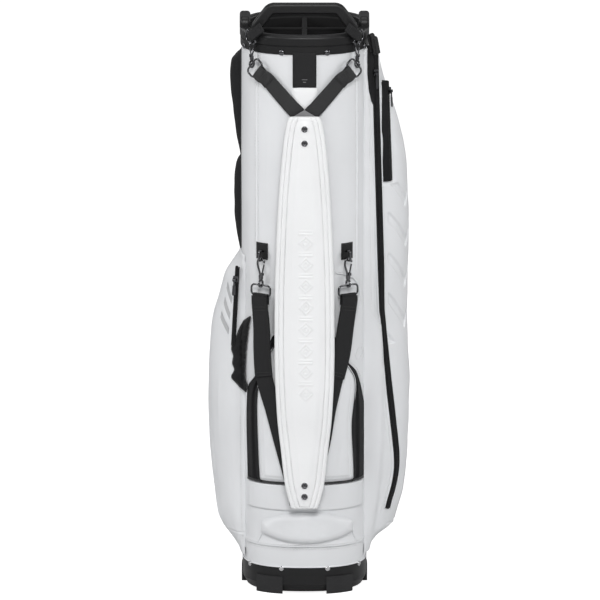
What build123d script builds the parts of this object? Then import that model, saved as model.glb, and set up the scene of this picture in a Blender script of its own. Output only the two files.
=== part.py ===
"""Golf staff bag: molded base and cuff joined by a stiffened leather tube, soft pockets around it,
and a clip-on shoulder strap hanging on the front. Millimetres, +Z up, front (strap side) towards -Y,
right towards +X, origin on the ground under the centre of the base."""

from build123d import *
from math import atan2, cos, radians, sin, sqrt
from typing import NamedTuple
import os

os.makedirs("parts", exist_ok=True)

# ---------------------------------------------------------------- driving dimensions
ROUNDNESS = 2.5              # exponent of the squared oval that every level of the bag follows
EXTRA_DEPTH = 4.0            # every oval is this much deeper than wide, measured on the halves
TUBE_HALF_W = 100.5
TUBE_HALF_D = TUBE_HALF_W + EXTRA_DEPTH
WALL = 3.0                   # leather, foam and stiffener sheet together
BODY_FOOT, BODY_TOP = 43.4, 896.0
CUFF_FOOT, CUFF_TOP = 882.0, 913.0
BASE_TOP, COLLAR_TOP = 30.5, 43.0
SPIGOT_TOP = 72.0
GRIP_TOP = 960.5             # top of the front grip
WIRE = 1.5                   # radius of the ring wire
WIRE_BORE = WIRE + 0.15      # radius of a hole that a ring wire passes through
WEB_LOOP_R = 3.1             # outside radius of a web folded round a ring wire
CLIP_DEPTH = 200             # reach of a front outline cut, from the middle of the bag
SIDES = (("left", -1), ("right", 1))


# ---------------------------------------------------------------- profiles and shared solids
def oval_radius(half_w, phi):
    """Distance from the axis to an oval; phi is in degrees from the front (-Y) towards +X."""
    across = abs(sin(radians(phi))) / half_w
    along = abs(cos(radians(phi))) / (half_w + EXTRA_DEPTH)
    return (across ** ROUNDNESS + along ** ROUNDNESS) ** (-1 / ROUNDNESS)


def polar(radius, phi):
    return (radius * sin(radians(phi)), -radius * cos(radians(phi)))


def oval_xy(half_w, phi):
    return polar(oval_radius(half_w, phi), phi)


def on_tube(phi, height):
    """Point at a height above the tube's surface, measured along the radius."""
    return polar(oval_radius(TUBE_HALF_W, phi) + height, phi)


def normal_at(x, y):
    """Outward horizontal normal of the tube near (x, y)."""
    nx = abs(x) ** (ROUNDNESS - 1) / TUBE_HALF_W ** ROUNDNESS * (1 if x >= 0 else -1)
    ny = abs(y) ** (ROUNDNESS - 1) / TUBE_HALF_D ** ROUNDNESS * (1 if y >= 0 else -1)
    length = sqrt(nx * nx + ny * ny)
    return nx / length, ny / length


def oval(half_w, mode=Mode.ADD):
    """Adds a squared-oval face to the sketch in hand."""
    with BuildLine() as rim:
        Spline(*[oval_xy(half_w, phi) for phi in range(0, 360, 10)], periodic=True)
    make_face(rim.edges(), mode=mode)


def outline(points):
    """Adds a polygon face to the sketch in hand."""
    with BuildLine() as edge:
        Polyline(*points, close=True)
    make_face(edge.edges())


# A sketch drawn in a helper doesn't reach the caller's part, so each helper below builds
# a part of its own and adds that.
def oval_prism(half_w, z0, z1, mode=Mode.ADD):
    with BuildPart() as prism:
        with BuildSketch(Plane.XY.offset(z0)):
            oval(half_w)
        extrude(amount=z1 - z0)
    add(prism.part, mode=mode)


def oval_loft(levels, mode=Mode.ADD):
    """Ruled loft through (z, half width) levels."""
    with BuildPart() as stack:
        for z, half_w in levels:
            with BuildSketch(Plane.XY.offset(z)):
                oval(half_w)
        loft(ruled=True)
    add(stack.part, mode=mode)


def oval_ring(outer, inner, z0, z1, mode=Mode.ADD):
    with BuildPart() as ring:
        with BuildSketch(Plane.XY.offset(z0)):
            oval(outer)
            oval(inner, mode=Mode.SUBTRACT)
        extrude(amount=z1 - z0)
    add(ring.part, mode=mode)


def skin(z0, z1, lo, hi):
    """A skin that follows the tube, between two offsets from its surface."""
    oval_ring(TUBE_HALF_W + hi, TUBE_HALF_W + lo, z0, z1)


def rod(plane, radius, length, at=(0, 0), mode=Mode.ADD):
    """Cylinder standing on a plane."""
    with BuildPart() as cylinder:
        with BuildSketch(plane):
            with Locations(at):
                Circle(radius)
        extrude(amount=length)
    add(cylinder.part, mode=mode)


def cut_slab(z0, z1):
    """Cuts away everything between two heights."""
    with BuildPart() as slab:
        with BuildSketch(Plane.XY.offset(z0)):
            Rectangle(400, 400)
        extrude(amount=z1 - z0)
    add(slab.part, mode=Mode.SUBTRACT)


def skin_patch(z0, z1, lo, hi, *outlines):
    """Piece of skin on the front of the tube, cut to (x, z) outlines."""
    with BuildPart() as patch:
        skin(z0, z1, lo, hi)
        with BuildSketch(Plane.XZ):
            for points in outlines:
                outline(points)
        extrude(amount=CLIP_DEPTH, mode=Mode.INTERSECT)
    return patch


def fasteners(spots, z, pin_radius, pin_depth, pin_length, head_radius, head_height, taper):
    """Pins square to the tube, each with a tapered head."""
    with BuildPart() as pins:
        for x, y in spots:
            nx, ny = normal_at(x, y)
            spot = Plane(origin=(x, y, z), z_dir=(nx, ny, 0))
            with BuildSketch(spot.offset(-pin_depth)):
                Circle(pin_radius)
            extrude(amount=pin_length)
            with BuildSketch(spot.offset(0.1)):
                Circle(head_radius)
            extrude(amount=head_height, taper=taper)
    return pins


# ---------------------------------------------------------------- base
BASE_HALF_W = 99.0
SPIGOT_HALF_W = 94.5         # the part of the base that stands inside the tube
COLLAR_HALF_W = 99.4
BEVEL_TOP = 15               # the base widens up to here
CAVITY_HALF_W = SPIGOT_HALF_W - 3.0
CAVITY_FOOT, CAVITY_BEVEL_TOP = 8, 16
FEET_TOP = 28

rivet_spots = []
for sx in (-1, 1):
    for sy in (-1, 1):
        for x in (37.0, 87.0):
            share = (1 - (x / COLLAR_HALF_W) ** ROUNDNESS) ** (1 / ROUNDNESS)
            rivet_spots.append((sx * x, sy * (COLLAR_HALF_W + EXTRA_DEPTH) * share))
base_rivets = fasteners(rivet_spots, z=41.0, pin_radius=1.8, pin_depth=7.8, pin_length=8.2,
                        head_radius=4.0, head_height=2.0, taper=25)

with BuildPart() as base_shell:
    oval_loft([(3, 93), (BEVEL_TOP, BASE_HALF_W)])
    oval_prism(BASE_HALF_W, BEVEL_TOP, BASE_TOP)
    oval_prism(SPIGOT_HALF_W, BASE_TOP, SPIGOT_TOP)
    oval_loft([(CAVITY_FOOT, 88), (CAVITY_BEVEL_TOP, CAVITY_HALF_W)], mode=Mode.SUBTRACT)
    oval_prism(CAVITY_HALF_W, CAVITY_BEVEL_TOP, SPIGOT_TOP, mode=Mode.SUBTRACT)
    add(base_rivets.part, mode=Mode.SUBTRACT)

# pads round the rim that wrap up the outside of the base, and a disc under its centre
with BuildPart() as base_feet:
    oval_prism(100.6, 0, FEET_TOP)
    with BuildSketch():
        with Locations((-56, -84), (56, -84), (-56, 84), (56, 84)):
            RectangleRounded(42, 60, 4)
        with Locations((-88, 12), (88, 12)):
            RectangleRounded(56, 36, 4)
    extrude(amount=FEET_TOP, mode=Mode.INTERSECT)
    oval_prism(92, 3, 63, mode=Mode.SUBTRACT)
    add(base_shell.part, mode=Mode.SUBTRACT)
    with BuildSketch():
        Circle(18)
    extrude(amount=3)

with BuildPart() as base_collar:
    oval_ring(COLLAR_HALF_W, SPIGOT_HALF_W + 0.1, BASE_TOP, COLLAR_TOP)
    chamfer(base_collar.faces().sort_by(Axis.Z)[-1].edges().sort_by(SortBy.LENGTH)[-1], 0.8)
    add(base_rivets.part, mode=Mode.SUBTRACT)

# ---------------------------------------------------------------- tube
CUFF_HALF_W = 102.4
SCREW_ANGLES = (19.5, -19.5, 62, -62, 118, -118, 160.5, -160.5)
TAPER_TOP = 80               # below this the tube narrows towards the base

cuff_screws = fasteners([oval_xy(CUFF_HALF_W, phi) for phi in SCREW_ANGLES], z=885.5,
                        pin_radius=1.9, pin_depth=4.6, pin_length=4.8,
                        head_radius=4.9, head_height=3.0, taper=28)

with BuildPart() as body_shell:
    oval_loft([(BODY_FOOT, 97.8), (TAPER_TOP, TUBE_HALF_W), (BODY_TOP, TUBE_HALF_W)])
    oval_loft([(BODY_FOOT, 94.7), (TAPER_TOP, TUBE_HALF_W - WALL), (BODY_TOP, TUBE_HALF_W - WALL)],
              mode=Mode.SUBTRACT)
    add(cuff_screws.part, mode=Mode.SUBTRACT)

# rods standing just inside the wall
with BuildPart() as spine_stays:
    for phi in (40, -40, 180):
        rod(Plane.XY.offset(SPIGOT_TOP + 0.1), 3.0, BODY_TOP - 0.3 - SPIGOT_TOP,
            at=polar(oval_radius(TUBE_HALF_W - WALL, phi) - 4.2, phi))

# ---------------------------------------------------------------- cuff, grips, dividers
MOUTH_HALF_W = 90
LIP_FOOT = 897               # the upper part of the cuff is slightly wider

with BuildPart() as cuff_ring:
    oval_prism(CUFF_HALF_W, CUFF_FOOT, CUFF_TOP)
    oval_prism(CUFF_HALF_W + 1, LIP_FOOT, CUFF_TOP)
    fillet(cuff_ring.faces().sort_by(Axis.Z)[-1].edges(), 6)
    # groove under the lip, then the seat for the tube and the mouth
    oval_ring(110, 101.3, 894.6, LIP_FOOT, mode=Mode.SUBTRACT)
    oval_prism(TUBE_HALF_W + 0.15, CUFF_FOOT, BODY_TOP + 0.2, mode=Mode.SUBTRACT)
    oval_prism(MOUTH_HALF_W, CUFF_FOOT, CUFF_FOOT + 60, mode=Mode.SUBTRACT)
    inner = cuff_ring.faces().sort_by(Axis.Z)[-1].edges().sort_by(SortBy.LENGTH)[0]
    fillet(inner, 3)
    add(cuff_screws.part, mode=Mode.SUBTRACT)

GRIP_Y = -75
GRIP_DEPTH, GRIP_HEIGHT = 14, 18
# (x, z) of the right half of the front grip's centre line, from its foot up
GRIP_HALF = [(77, 900), (75, 924), (54, GRIP_TOP - GRIP_HEIGHT / 2)]
grip_path = [(-x, GRIP_Y, z) for x, z in GRIP_HALF] + [(x, GRIP_Y, z) for x, z in GRIP_HALF[::-1]]

with BuildPart() as front_grip:
    with BuildLine() as arch:
        FilletPolyline(*grip_path, radius=12)
    with BuildSketch(Plane(origin=arch.line @ 0, z_dir=arch.line % 0, x_dir=(0, 1, 0))):
        RectangleRounded(GRIP_DEPTH, GRIP_HEIGHT, 5)
    sweep()
    cut_slab(880, 903)
    add(cuff_ring.part, mode=Mode.SUBTRACT)
    oval_prism(MOUTH_HALF_W, 880, CUFF_TOP, mode=Mode.SUBTRACT)

SIDE_GRIP_X, SIDE_GRIP_WIDTH = 95, 17

with BuildPart() as side_grips:
    for s in (-1, 1):
        with BuildSketch(Plane.YZ.offset(s * SIDE_GRIP_X - SIDE_GRIP_WIDTH / 2)):
            with Locations((0, 913.5)):
                RectangleRounded(64, 28, 11)
            with Locations((0, 911.5)):
                RectangleRounded(42, 16, 5, mode=Mode.SUBTRACT)
        extrude(amount=SIDE_GRIP_WIDTH)
    fillet(side_grips.edges().filter_by(GeomType.LINE).filter_by(Axis.Y).group_by(Axis.Z)[-1], 5)
    add(cuff_ring.part, mode=Mode.SUBTRACT)
    add(front_grip.part, mode=Mode.SUBTRACT)
    cut_slab(890, 911)

DIVIDER_FOOT = 886

with BuildPart() as divider_frame:
    oval_ring(MOUTH_HALF_W - 0.2, 83.5, DIVIDER_FOOT, 904)
    chamfer(divider_frame.faces().sort_by(Axis.Z)[-1].edges(), 1.5)
    for wide, deep in ((170, 8), (8, 178)):
        with BuildSketch(Plane.XY.offset(DIVIDER_FOOT)):
            RectangleRounded(wide, deep, 1.5)
        extrude(amount=16)

with BuildPart() as divider_panels:
    with BuildSketch(Plane.XY.offset(80)):
        Rectangle(178, 1.6)
        Rectangle(1.6, 186)
    extrude(amount=DIVIDER_FOOT - 0.1 - 80)

# ---------------------------------------------------------------- soft trim on the front of the tube
TAB_SEAM = 829               # the web tab above meets the leather tab below here
POCKET_X = 1.0               # the front pocket, its gussets and the band are centred here
POCKET_HALF_W = 74
BAND_HALF_W = 93
POCKET_FOOT, POCKET_SPRING, POCKET_CROWN = 181, 372, 416

centre_web_tab = skin_patch(820, 900, 0.3, 2.6, [
    (-19, TAB_SEAM), (19, TAB_SEAM), (19, CUFF_FOOT - 0.2), (-19, CUFF_FOOT - 0.2)])

centre_leather_tab = skin_patch(760, 840, 0.3, 2.4, [
    (-20, TAB_SEAM - 0.2), (20, TAB_SEAM - 0.2), (20, 800), (13, 765), (-13, 765), (-20, 800)])

# lower front pocket with an arched top
with BuildPart() as front_pocket:
    left_x, right_x = POCKET_X - POCKET_HALF_W, POCKET_X + POCKET_HALF_W
    skin(170, 430, 0.4, 13.0)
    with BuildSketch(Plane.XZ):
        with BuildLine():
            Polyline((left_x, POCKET_SPRING), (left_x, POCKET_FOOT), (right_x, POCKET_FOOT),
                     (right_x, POCKET_SPRING))
            ThreePointArc((right_x, POCKET_SPRING), (POCKET_X, POCKET_CROWN),
                          (left_x, POCKET_SPRING))
        make_face()
    extrude(amount=CLIP_DEPTH, mode=Mode.INTERSECT)

# mesh gusset on each side of the pocket: (distance from the pocket's centre line, z)
GUSSET = [(POCKET_HALF_W + 0.6, POCKET_FOOT), (BAND_HALF_W, POCKET_FOOT), (93.5, 352), (86, 384),
          (POCKET_HALF_W + 0.6, 370)]
front_gussets = skin_patch(170, 400, 0.4, 5.0,
                           *[[(POCKET_X + s * dx, z) for dx, z in GUSSET] for s in (-1, 1)])

lower_band = skin_patch(120, 190, 0.4, 4.2, [
    (POCKET_X - BAND_HALF_W, 134), (POCKET_X + BAND_HALF_W, 134),
    (POCKET_X + BAND_HALF_W, POCKET_FOOT - 0.6), (POCKET_X - BAND_HALF_W, POCKET_FOOT - 0.6)])

with BuildPart() as lift_handle:
    skin(80, 140, 2.2, 9.5)
    with BuildSketch(Plane.XZ):
        with BuildLine():
            Spline((-80, 102), (-40, 92), (0, 86), (40, 92), (80, 102))
            Line((80, 102), (80, 121))
            Spline((80, 121), (40, 128), (0, 130.5), (-40, 128), (-80, 121))
            Line((-80, 121), (-80, 102))
        make_face()
    extrude(amount=CLIP_DEPTH, mode=Mode.INTERSECT)

# ---------------------------------------------------------------- side and back pockets
# Each level is (z, start phi, end phi, [(phi, height above the tube), ...]).
POCKET_CLEAR = 0.5           # gap between a pocket's back and the tube
BACK_STEPS = 8               # spans along the back of a level
ZIP_PHI = 71.0               # angle of the long right zip
ZIP_FOOT_Z = 430

# (phi, share of the level's bulge)
RIGHT_PROFILE = ((81, 0.60), (90, 0.86), (100, 0.985), (108, 1.0), (118, 0.93), (128, 0.74),
                 (138, 0.42))
LEFT_PROFILE = ((-144, 0.12), (-136, 0.5), (-126, 0.84), (-114, 1.0), (-101, 1.0), (-91, 0.93),
                (-82, 0.74), (-74, 0.52), (-68, 0.36), (-65, 0.16))
# (share of the way from start to end, share of the level's bulge)
SMALL_PROFILE = ((0.06, 0.5), (0.16, 0.9), (0.35, 1.0), (0.65, 1.0), (0.86, 0.86), (0.94, 0.5))

# (z, height of the zip, bulge) below the zip's straight run, then (z, bulge) along it
RIGHT_LOW = ((60, 5, 5), (84, 9, 30), (115, 15, 50), (150, 20, 60), (213, 25, 67), (300, 27, 69.5))
RIGHT_HIGH = ((ZIP_FOOT_Z, 66.5), (574, 69), (672, 66), (738, 54), (787, 39), (830, 25), (876, 15))
# (z, bulge)
LEFT = ((57, 5), (82, 18), (107, 34), (148, 40), (197, 47), (246, 52), (310, 54), (410, 50),
        (475, 34), (520, 12), (536, 5))
LEFT_UPPER = ((706, 3), (738, 14), (787, 22), (828, 24), (862, 12), (874, 4))
LEFT_MIDDLE = ((541, 4), (560, 12), (600, 19), (650, 20), (690, 12), (702, 4))
BACK_BALL = ((92, 6), (112, 30), (150, 44), (220, 50), (300, 46), (345, 30), (362, 8))
BACK_UPPER = ((430, 4), (446, 13), (500, 17), (620, 17), (700, 13), (716, 4))


def zip_height(z):
    """Height of the long zip above the tube: its distance from the axis is linear in z."""
    return (130.0 - 0.0297 * (z - ZIP_FOOT_Z)) - oval_radius(TUBE_HALF_W, ZIP_PHI)


def right_level(z, zip_h, bulge):
    end = 150.0
    points = [(64.6, 2.6), (67.6, 0.6 * zip_h), (ZIP_PHI, zip_h), (74.5, zip_h + 1.5)]
    for phi, share in RIGHT_PROFILE:
        near_zip = zip_h * 0.8 if phi < 84 else 0.0
        points.append((phi, max(3.5, bulge * share, near_zip)))
    points.append((end - 4, 3.0))
    return (z, 63.6, end, points)


def left_level(z, bulge):
    return (z, -148.0, -63.6, [(phi, max(3.2, bulge * share)) for phi, share in LEFT_PROFILE])


def small_levels(table, start, end):
    levels = []
    for z, bulge in table:
        points = [(start + (end - start) * f, max(2.6, bulge * share)) for f, share in SMALL_PROFILE]
        levels.append((z, start, end, points))
    return levels


def pocket(levels):
    """Ruled loft of closed level profiles, standing clear of the tube by a hair."""
    with BuildPart() as bag:
        for z, start, end, points in levels:
            with BuildSketch(Plane.XY.offset(z)):
                with BuildLine():
                    first = on_tube(start, POCKET_CLEAR)
                    last = on_tube(end, POCKET_CLEAR)
                    Spline(first, *[on_tube(phi, h) for phi, h in points], last)
                    back = [end + (start - end) * k / BACK_STEPS for k in range(1, BACK_STEPS)]
                    Spline(last, *[on_tube(phi, POCKET_CLEAR) for phi in back], first)
                make_face()
        loft(ruled=True)
    return bag


right_pocket = pocket([right_level(*row) for row in RIGHT_LOW]
                      + [right_level(z, zip_height(z), bulge) for z, bulge in RIGHT_HIGH])
left_pocket = pocket([left_level(*row) for row in LEFT])
left_upper_pocket = pocket(small_levels(LEFT_UPPER, -141.0, -95.0))
left_middle_pocket = pocket(small_levels(LEFT_MIDDLE, -141.0, -95.0))
back_ball_pocket = pocket(small_levels(BACK_BALL, 152.5, 210.0))
back_upper_pocket = pocket(small_levels(BACK_UPPER, 156.0, 204.0))

# ---------------------------------------------------------------- zips
# Each zip is a straight run on a plane of its own, with a slider riding on it.
SLIDER_PIN_H = 6.6           # height of the slider's cross pin above the zip plane


def above_tube(phi, height, z):
    return (*on_tube(phi, height), z)


# name: (top, bottom, outward direction, tape width, slider's distance from the top, pocket)
ZIPS = {
    "right": (above_tube(ZIP_PHI, zip_height(866) + 1.2, 866),
              above_tube(ZIP_PHI, zip_height(ZIP_FOOT_Z) + 1.2, ZIP_FOOT_Z),
              (0.42, -0.91), 13.0, 26, right_pocket),
    "right_upper": ((132.1, -8.2, 818), (137.6, -27.2, 662), (0.93, -0.37), 13.0, 14, right_pocket),
    "left": (above_tube(-66.5, 12.0, 524), above_tube(-66.5, 19.5, 396),
             (-0.55, -0.83), 9.0, 20, left_pocket),
    "ball": (above_tube(206.0, 31.0, 312), above_tube(206.0, 33.0, 160),
             (-0.90, 0.44), 11.0, 14, back_ball_pocket),
}


def zip_plane(top, bottom, outward):
    """Plane with its origin at the top of the run, x down the run and z outwards; run length."""
    run = Vector(*bottom) - Vector(*top)
    down = run.normalized()
    out = Vector(outward[0], outward[1], 0)
    out = out - down * out.dot(down)
    return Plane(origin=top, x_dir=down, z_dir=out.normalized()), run.length


def zip_tape(plane, length, width, near):
    """Tape with a raised coil, cut back to the pocket and the tube."""
    with BuildPart() as tape:
        with BuildSketch(plane.offset(-6.8)):
            with Locations((length / 2, 0)):
                RectangleRounded(length, width, 3)
        extrude(amount=8.0)
        with BuildSketch(plane.offset(1.2)):
            with Locations((length / 2, 0)):
                Rectangle(length - 4, 3.4)
        extrude(amount=1.0)
        add(near, mode=Mode.SUBTRACT)
        add(body_shell.part, mode=Mode.SUBTRACT)
    return tape


def make_slider(plane, down):
    """Slider over the coil, with two cheeks and a cross pin."""
    pin_x = down + 1.0
    with BuildPart() as slider:
        with BuildSketch(plane.offset(2.6)):
            with Locations((down, 0)):
                RectangleRounded(11, 8.4, 2.4)
        extrude(amount=2.2)
        for side in (-1, 1):
            with BuildSketch(plane.offset(4.8)):
                with Locations((pin_x, side * 2.2)):
                    Rectangle(4.4, 1.2)
            extrude(amount=3.4)
        pin_end = plane.from_local_coords((pin_x, -2.9, SLIDER_PIN_H))
        rod(Plane(origin=pin_end, z_dir=plane.y_dir), 0.7, 5.8)
    return slider


def make_puller(plane, down):
    """Puller hanging on the slider's cross pin."""
    pin_x = down + 1.0
    with BuildPart() as puller:
        knuckle = plane.from_local_coords((pin_x, -1.4, SLIDER_PIN_H))
        rod(Plane(origin=knuckle, z_dir=plane.y_dir), 1.7, 2.8)
        with BuildSketch(plane.offset(6.0)):
            with Locations((pin_x + 10.5, 0)):
                RectangleRounded(19, 2.8, 1.2)
            with Locations((pin_x + 17.0, 0)):
                RectangleRounded(17, 5.2, 2.4)
        extrude(amount=1.3)
        bore = plane.from_local_coords((pin_x, -3.0, SLIDER_PIN_H))
        rod(Plane(origin=bore, z_dir=plane.y_dir), 0.78, 6, mode=Mode.SUBTRACT)
    return puller


zip_parts = {}
for name, (top, bottom, outward, width, down, near) in ZIPS.items():
    plane, length = zip_plane(top, bottom, outward)
    zip_parts[name + "_zip"] = zip_tape(plane, length, width, near.part)
    zip_parts[name + "_slider"] = make_slider(plane, down)
    zip_parts[name + "_puller"] = make_puller(plane, down)

# mesh drinks sleeve on the front face of the left pocket: (phi, height above the tube)
SLEEVE_FOOT = 316
SLEEVE_INNER = ((-64, 8), (-67, 22), (-72, 31), (-76, 37))
SLEEVE_OUTER = ((-76, 37), (-71, 33), (-65.5, 22), (-64, 8))

with BuildPart() as bottle_sleeve:
    with BuildSketch(Plane.XY.offset(SLEEVE_FOOT)):
        with BuildLine():
            Spline(*[on_tube(phi, h) for phi, h in SLEEVE_INNER])
            Spline(*[on_tube(phi, h) for phi, h in SLEEVE_OUTER])
        make_face()
    extrude(amount=120)
    with BuildSketch(Plane.XZ):
        outline([(-90, 432), (-96, 420), (-112, 378), (-114, 350), (-111, 325),
                 (-92, SLEEVE_FOOT), (-84, SLEEVE_FOOT), (-84, 432)])
    extrude(amount=CLIP_DEPTH, mode=Mode.INTERSECT)
    add(left_pocket.part, mode=Mode.SUBTRACT)
    add(zip_parts["left_zip"].part, mode=Mode.SUBTRACT)

# ---------------------------------------------------------------- hooks and swivels
EYE_OUTER, EYE_INNER = 6.6, 4.2      # radii of the swivel eye


class HookPair(NamedTuple):
    """A mirrored pair of hooks; s is -1 for the left one and +1 for the right one."""
    x: float                 # half the distance between the hooks
    y: float
    z: float                 # height of the bar that the hooks hang on
    normal: tuple            # sizes of x and y in the bag's outward normal there
    scale: float

    def at(self, s, z):
        return Vector(s * self.x, self.y, z)

    def outward(self, s):
        return Vector(s * self.normal[0], -self.normal[1], 0).normalized()

    def tangent(self, s):
        return Vector(self.normal[1], s * self.normal[0], 0).normalized()

    def eye_z(self):
        return self.z - 36.0 * self.scale - 5.0


UPPER = HookPair(x=84.0, y=-86.0, z=897.0, normal=(0.61, 0.79), scale=0.8)
LOWER = HookPair(x=69.7, y=-97.9, z=545.0, normal=(0.555, 0.832), scale=0.9)


def hook_plane(origin, across):
    """Local x across the hook, local y up; the bar that it hangs on passes through the origin."""
    return Plane(origin=origin, x_dir=across, z_dir=across.cross(Vector(0, 0, 1)))


def make_hook(plane, k):
    """Wire hook and its sprung gate. k scales the hook."""
    wire_r = 1.8 * k
    top = WIRE + 0.4 + wire_r
    hinge = (2.6 * k, -23.6 * k)
    hinge_r = 0.8 * k
    with BuildPart() as body:
        with BuildLine(plane) as wire:
            Spline((-1.6 * k, -26.4 * k), (-5.0 * k, -14 * k), (-6.9 * k, -5 * k),
                   (-5.2 * k, top - 2.6 * k), (0, top), (5.2 * k, top - 2.6 * k),
                   (6.9 * k, -3.4 * k))
        with BuildSketch(Plane(origin=wire.line @ 0, z_dir=wire.line % 0)):
            Circle(wire_r)
        sweep()
        # barrel at the foot, then the two gate cheeks and the hinge pin
        barrel = Plane(origin=plane.from_local_coords((0, -33 * k, 0)), x_dir=plane.x_dir,
                       z_dir=(0, 0, 1))
        rod(barrel, 4.0 * k, 6.6 * k)
        for side in (-1, 1):
            with BuildSketch(plane.offset(side * 2.6 * k - 0.6 * k)):
                with Locations((2.0 * k, -24.6 * k)):
                    Rectangle(5.2 * k, 5.2 * k)
            extrude(amount=1.2 * k)
        rod(plane.offset(-2.6 * k), hinge_r, 5.2 * k, at=hinge)
        # socket for the swivel's stem
        rod(barrel.offset(-0.1), 2.0 * k + 0.08, 4.4 * k + 0.1, mode=Mode.SUBTRACT)
    with BuildPart() as gate:
        rod(plane.offset(-1.7 * k), 1.8 * k, 3.4 * k, at=hinge)
        lower = Vector(plane.from_local_coords((2.9 * k, -22.4 * k, 0)))
        upper = Vector(plane.from_local_coords((6.7 * k, -6.6 * k, 0)))
        rod(Plane(origin=lower, z_dir=upper - lower), 1.35 * k, (upper - lower).length)
        rod(plane.offset(-2 * k), hinge_r + 0.06, 4 * k, at=hinge, mode=Mode.SUBTRACT)
    return body, gate


def make_swivels(pair, flange_r, flange_start):
    """Stem and flange in the foot of each hook, with an eye below."""
    k = pair.scale
    with BuildPart() as swivels:
        for side, s in SIDES:
            foot = Plane(origin=pair.at(s, pair.z - 36.4 * k), z_dir=(0, 0, 1))
            rod(foot, 2.0 * k, 7.6 * k)
            rod(foot.offset(flange_start), flange_r * k, 2.9 * k - flange_start)
            with BuildSketch(Plane(origin=pair.at(s, pair.eye_z()), x_dir=pair.outward(s),
                                   z_dir=pair.tangent(s))):
                Circle(EYE_OUTER)
                Circle(EYE_INNER, mode=Mode.SUBTRACT)
            extrude(amount=1.2, both=True)
    return swivels


hooks = {}
for side, s in SIDES:
    upper_plane = hook_plane(UPPER.at(s, UPPER.z), UPPER.outward(s))
    lower_plane = hook_plane(LOWER.at(s, LOWER.z), LOWER.tangent(s))
    hooks["upper_" + side] = make_hook(upper_plane, UPPER.scale)
    hooks["lower_" + side] = make_hook(lower_plane, LOWER.scale)

upper_swivels = make_swivels(UPPER, flange_r=2.9, flange_start=0.5)
lower_swivels = make_swivels(LOWER, flange_r=3.2, flange_start=0)

# ---------------------------------------------------------------- rings
D_RING_H = 17.0              # between the centre lines of a D-ring's two bars
WEB_TILT = 40.0              # slope of the V webs
UPPER_RING_TOP = UPPER.eye_z() - 0.2
LOWER_RING_TOP = LOWER.eye_z() - (EYE_INNER - WIRE - 0.3)


def wire_loop(plane, width, height, corner):
    """Adds a closed rounded-rectangle wire ring, centred on the plane's origin."""
    with BuildPart() as ring:
        with BuildSketch(plane):
            RectangleRounded(width + 2 * WIRE, height + 2 * WIRE, corner + WIRE)
            RectangleRounded(width - 2 * WIRE, height - 2 * WIRE, corner - WIRE,
                             mode=Mode.SUBTRACT)
        extrude(amount=WIRE, both=True)
        flat = ring.faces().filter_by(lambda f: abs(f.normal_at().dot(plane.z_dir)) > 0.99)
        fillet(flat.edges(), WIRE * 0.9)
    add(ring.part)


# upper D-rings lie along the tilt of the V webs; the eye hangs on their upper bar
lower_bars = {}              # side: (centre of the lower bar, direction down the web, outward)
with BuildPart() as upper_d_rings:
    for side, s in SIDES:
        tangent, outward = UPPER.tangent(s), UPPER.outward(s)
        inward = (tangent * -s * cos(radians(WEB_TILT))
                  + Vector(0, 0, -1) * sin(radians(WEB_TILT))).normalized()
        centre = UPPER.at(s, UPPER_RING_TOP) + inward * (D_RING_H / 2)
        lower_bars[side] = (centre + inward * (D_RING_H / 2), inward, outward)
        wire_loop(Plane(origin=centre, x_dir=outward.cross(inward), z_dir=outward),
                  31, D_RING_H, 6)

# lower D-rings hang level
with BuildPart() as lower_d_rings:
    for side, s in SIDES:
        wire_loop(Plane(origin=LOWER.at(s, LOWER_RING_TOP - D_RING_H / 2),
                        x_dir=LOWER.tangent(s), z_dir=LOWER.outward(s)), 36, D_RING_H, 6)

# D-rings on the cuff: straight bar held by a web loop, bow hanging down for the hook
BOW = 12.0                   # radius of the bow
BAR_COS, BAR_SIN = cos(radians(50)), sin(radians(50))     # slope of the straight bar

cuff_ring_planes = []        # (s, plane of the ring)
for side, s in SIDES:
    toward_middle = UPPER.tangent(s) * -s
    cuff_ring_planes.append((s, hook_plane(UPPER.at(s, UPPER.z + BOW), toward_middle)))

with BuildPart() as cuff_d_rings:
    for s, plane in cuff_ring_planes:
        bar_start, bar_end = (-BOW * BAR_COS, BOW * BAR_SIN), (BOW * BAR_COS, -BOW * BAR_SIN)
        with BuildLine(plane) as bow:
            ThreePointArc(bar_end, (-BOW * BAR_SIN, -BOW * BAR_COS), bar_start)
        with BuildSketch(Plane(origin=bow.line @ 0, z_dir=bow.line % 0)):
            Circle(WIRE)
        sweep(path=bow.line)
        ends = [Vector(plane.from_local_coords((x, y, 0))) for x, y in (bar_start, bar_end)]
        rod(Plane(origin=ends[0], z_dir=ends[1] - ends[0]), WIRE, 2 * BOW)
        for end in ends:
            with Locations(Location(end)):
                Sphere(WIRE)

LOOP_LENGTH = 16             # length of the web loop along the bar


def bar_direction(plane):
    return (plane.x_dir * BAR_COS + Vector(0, 0, -1) * BAR_SIN).normalized()


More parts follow.
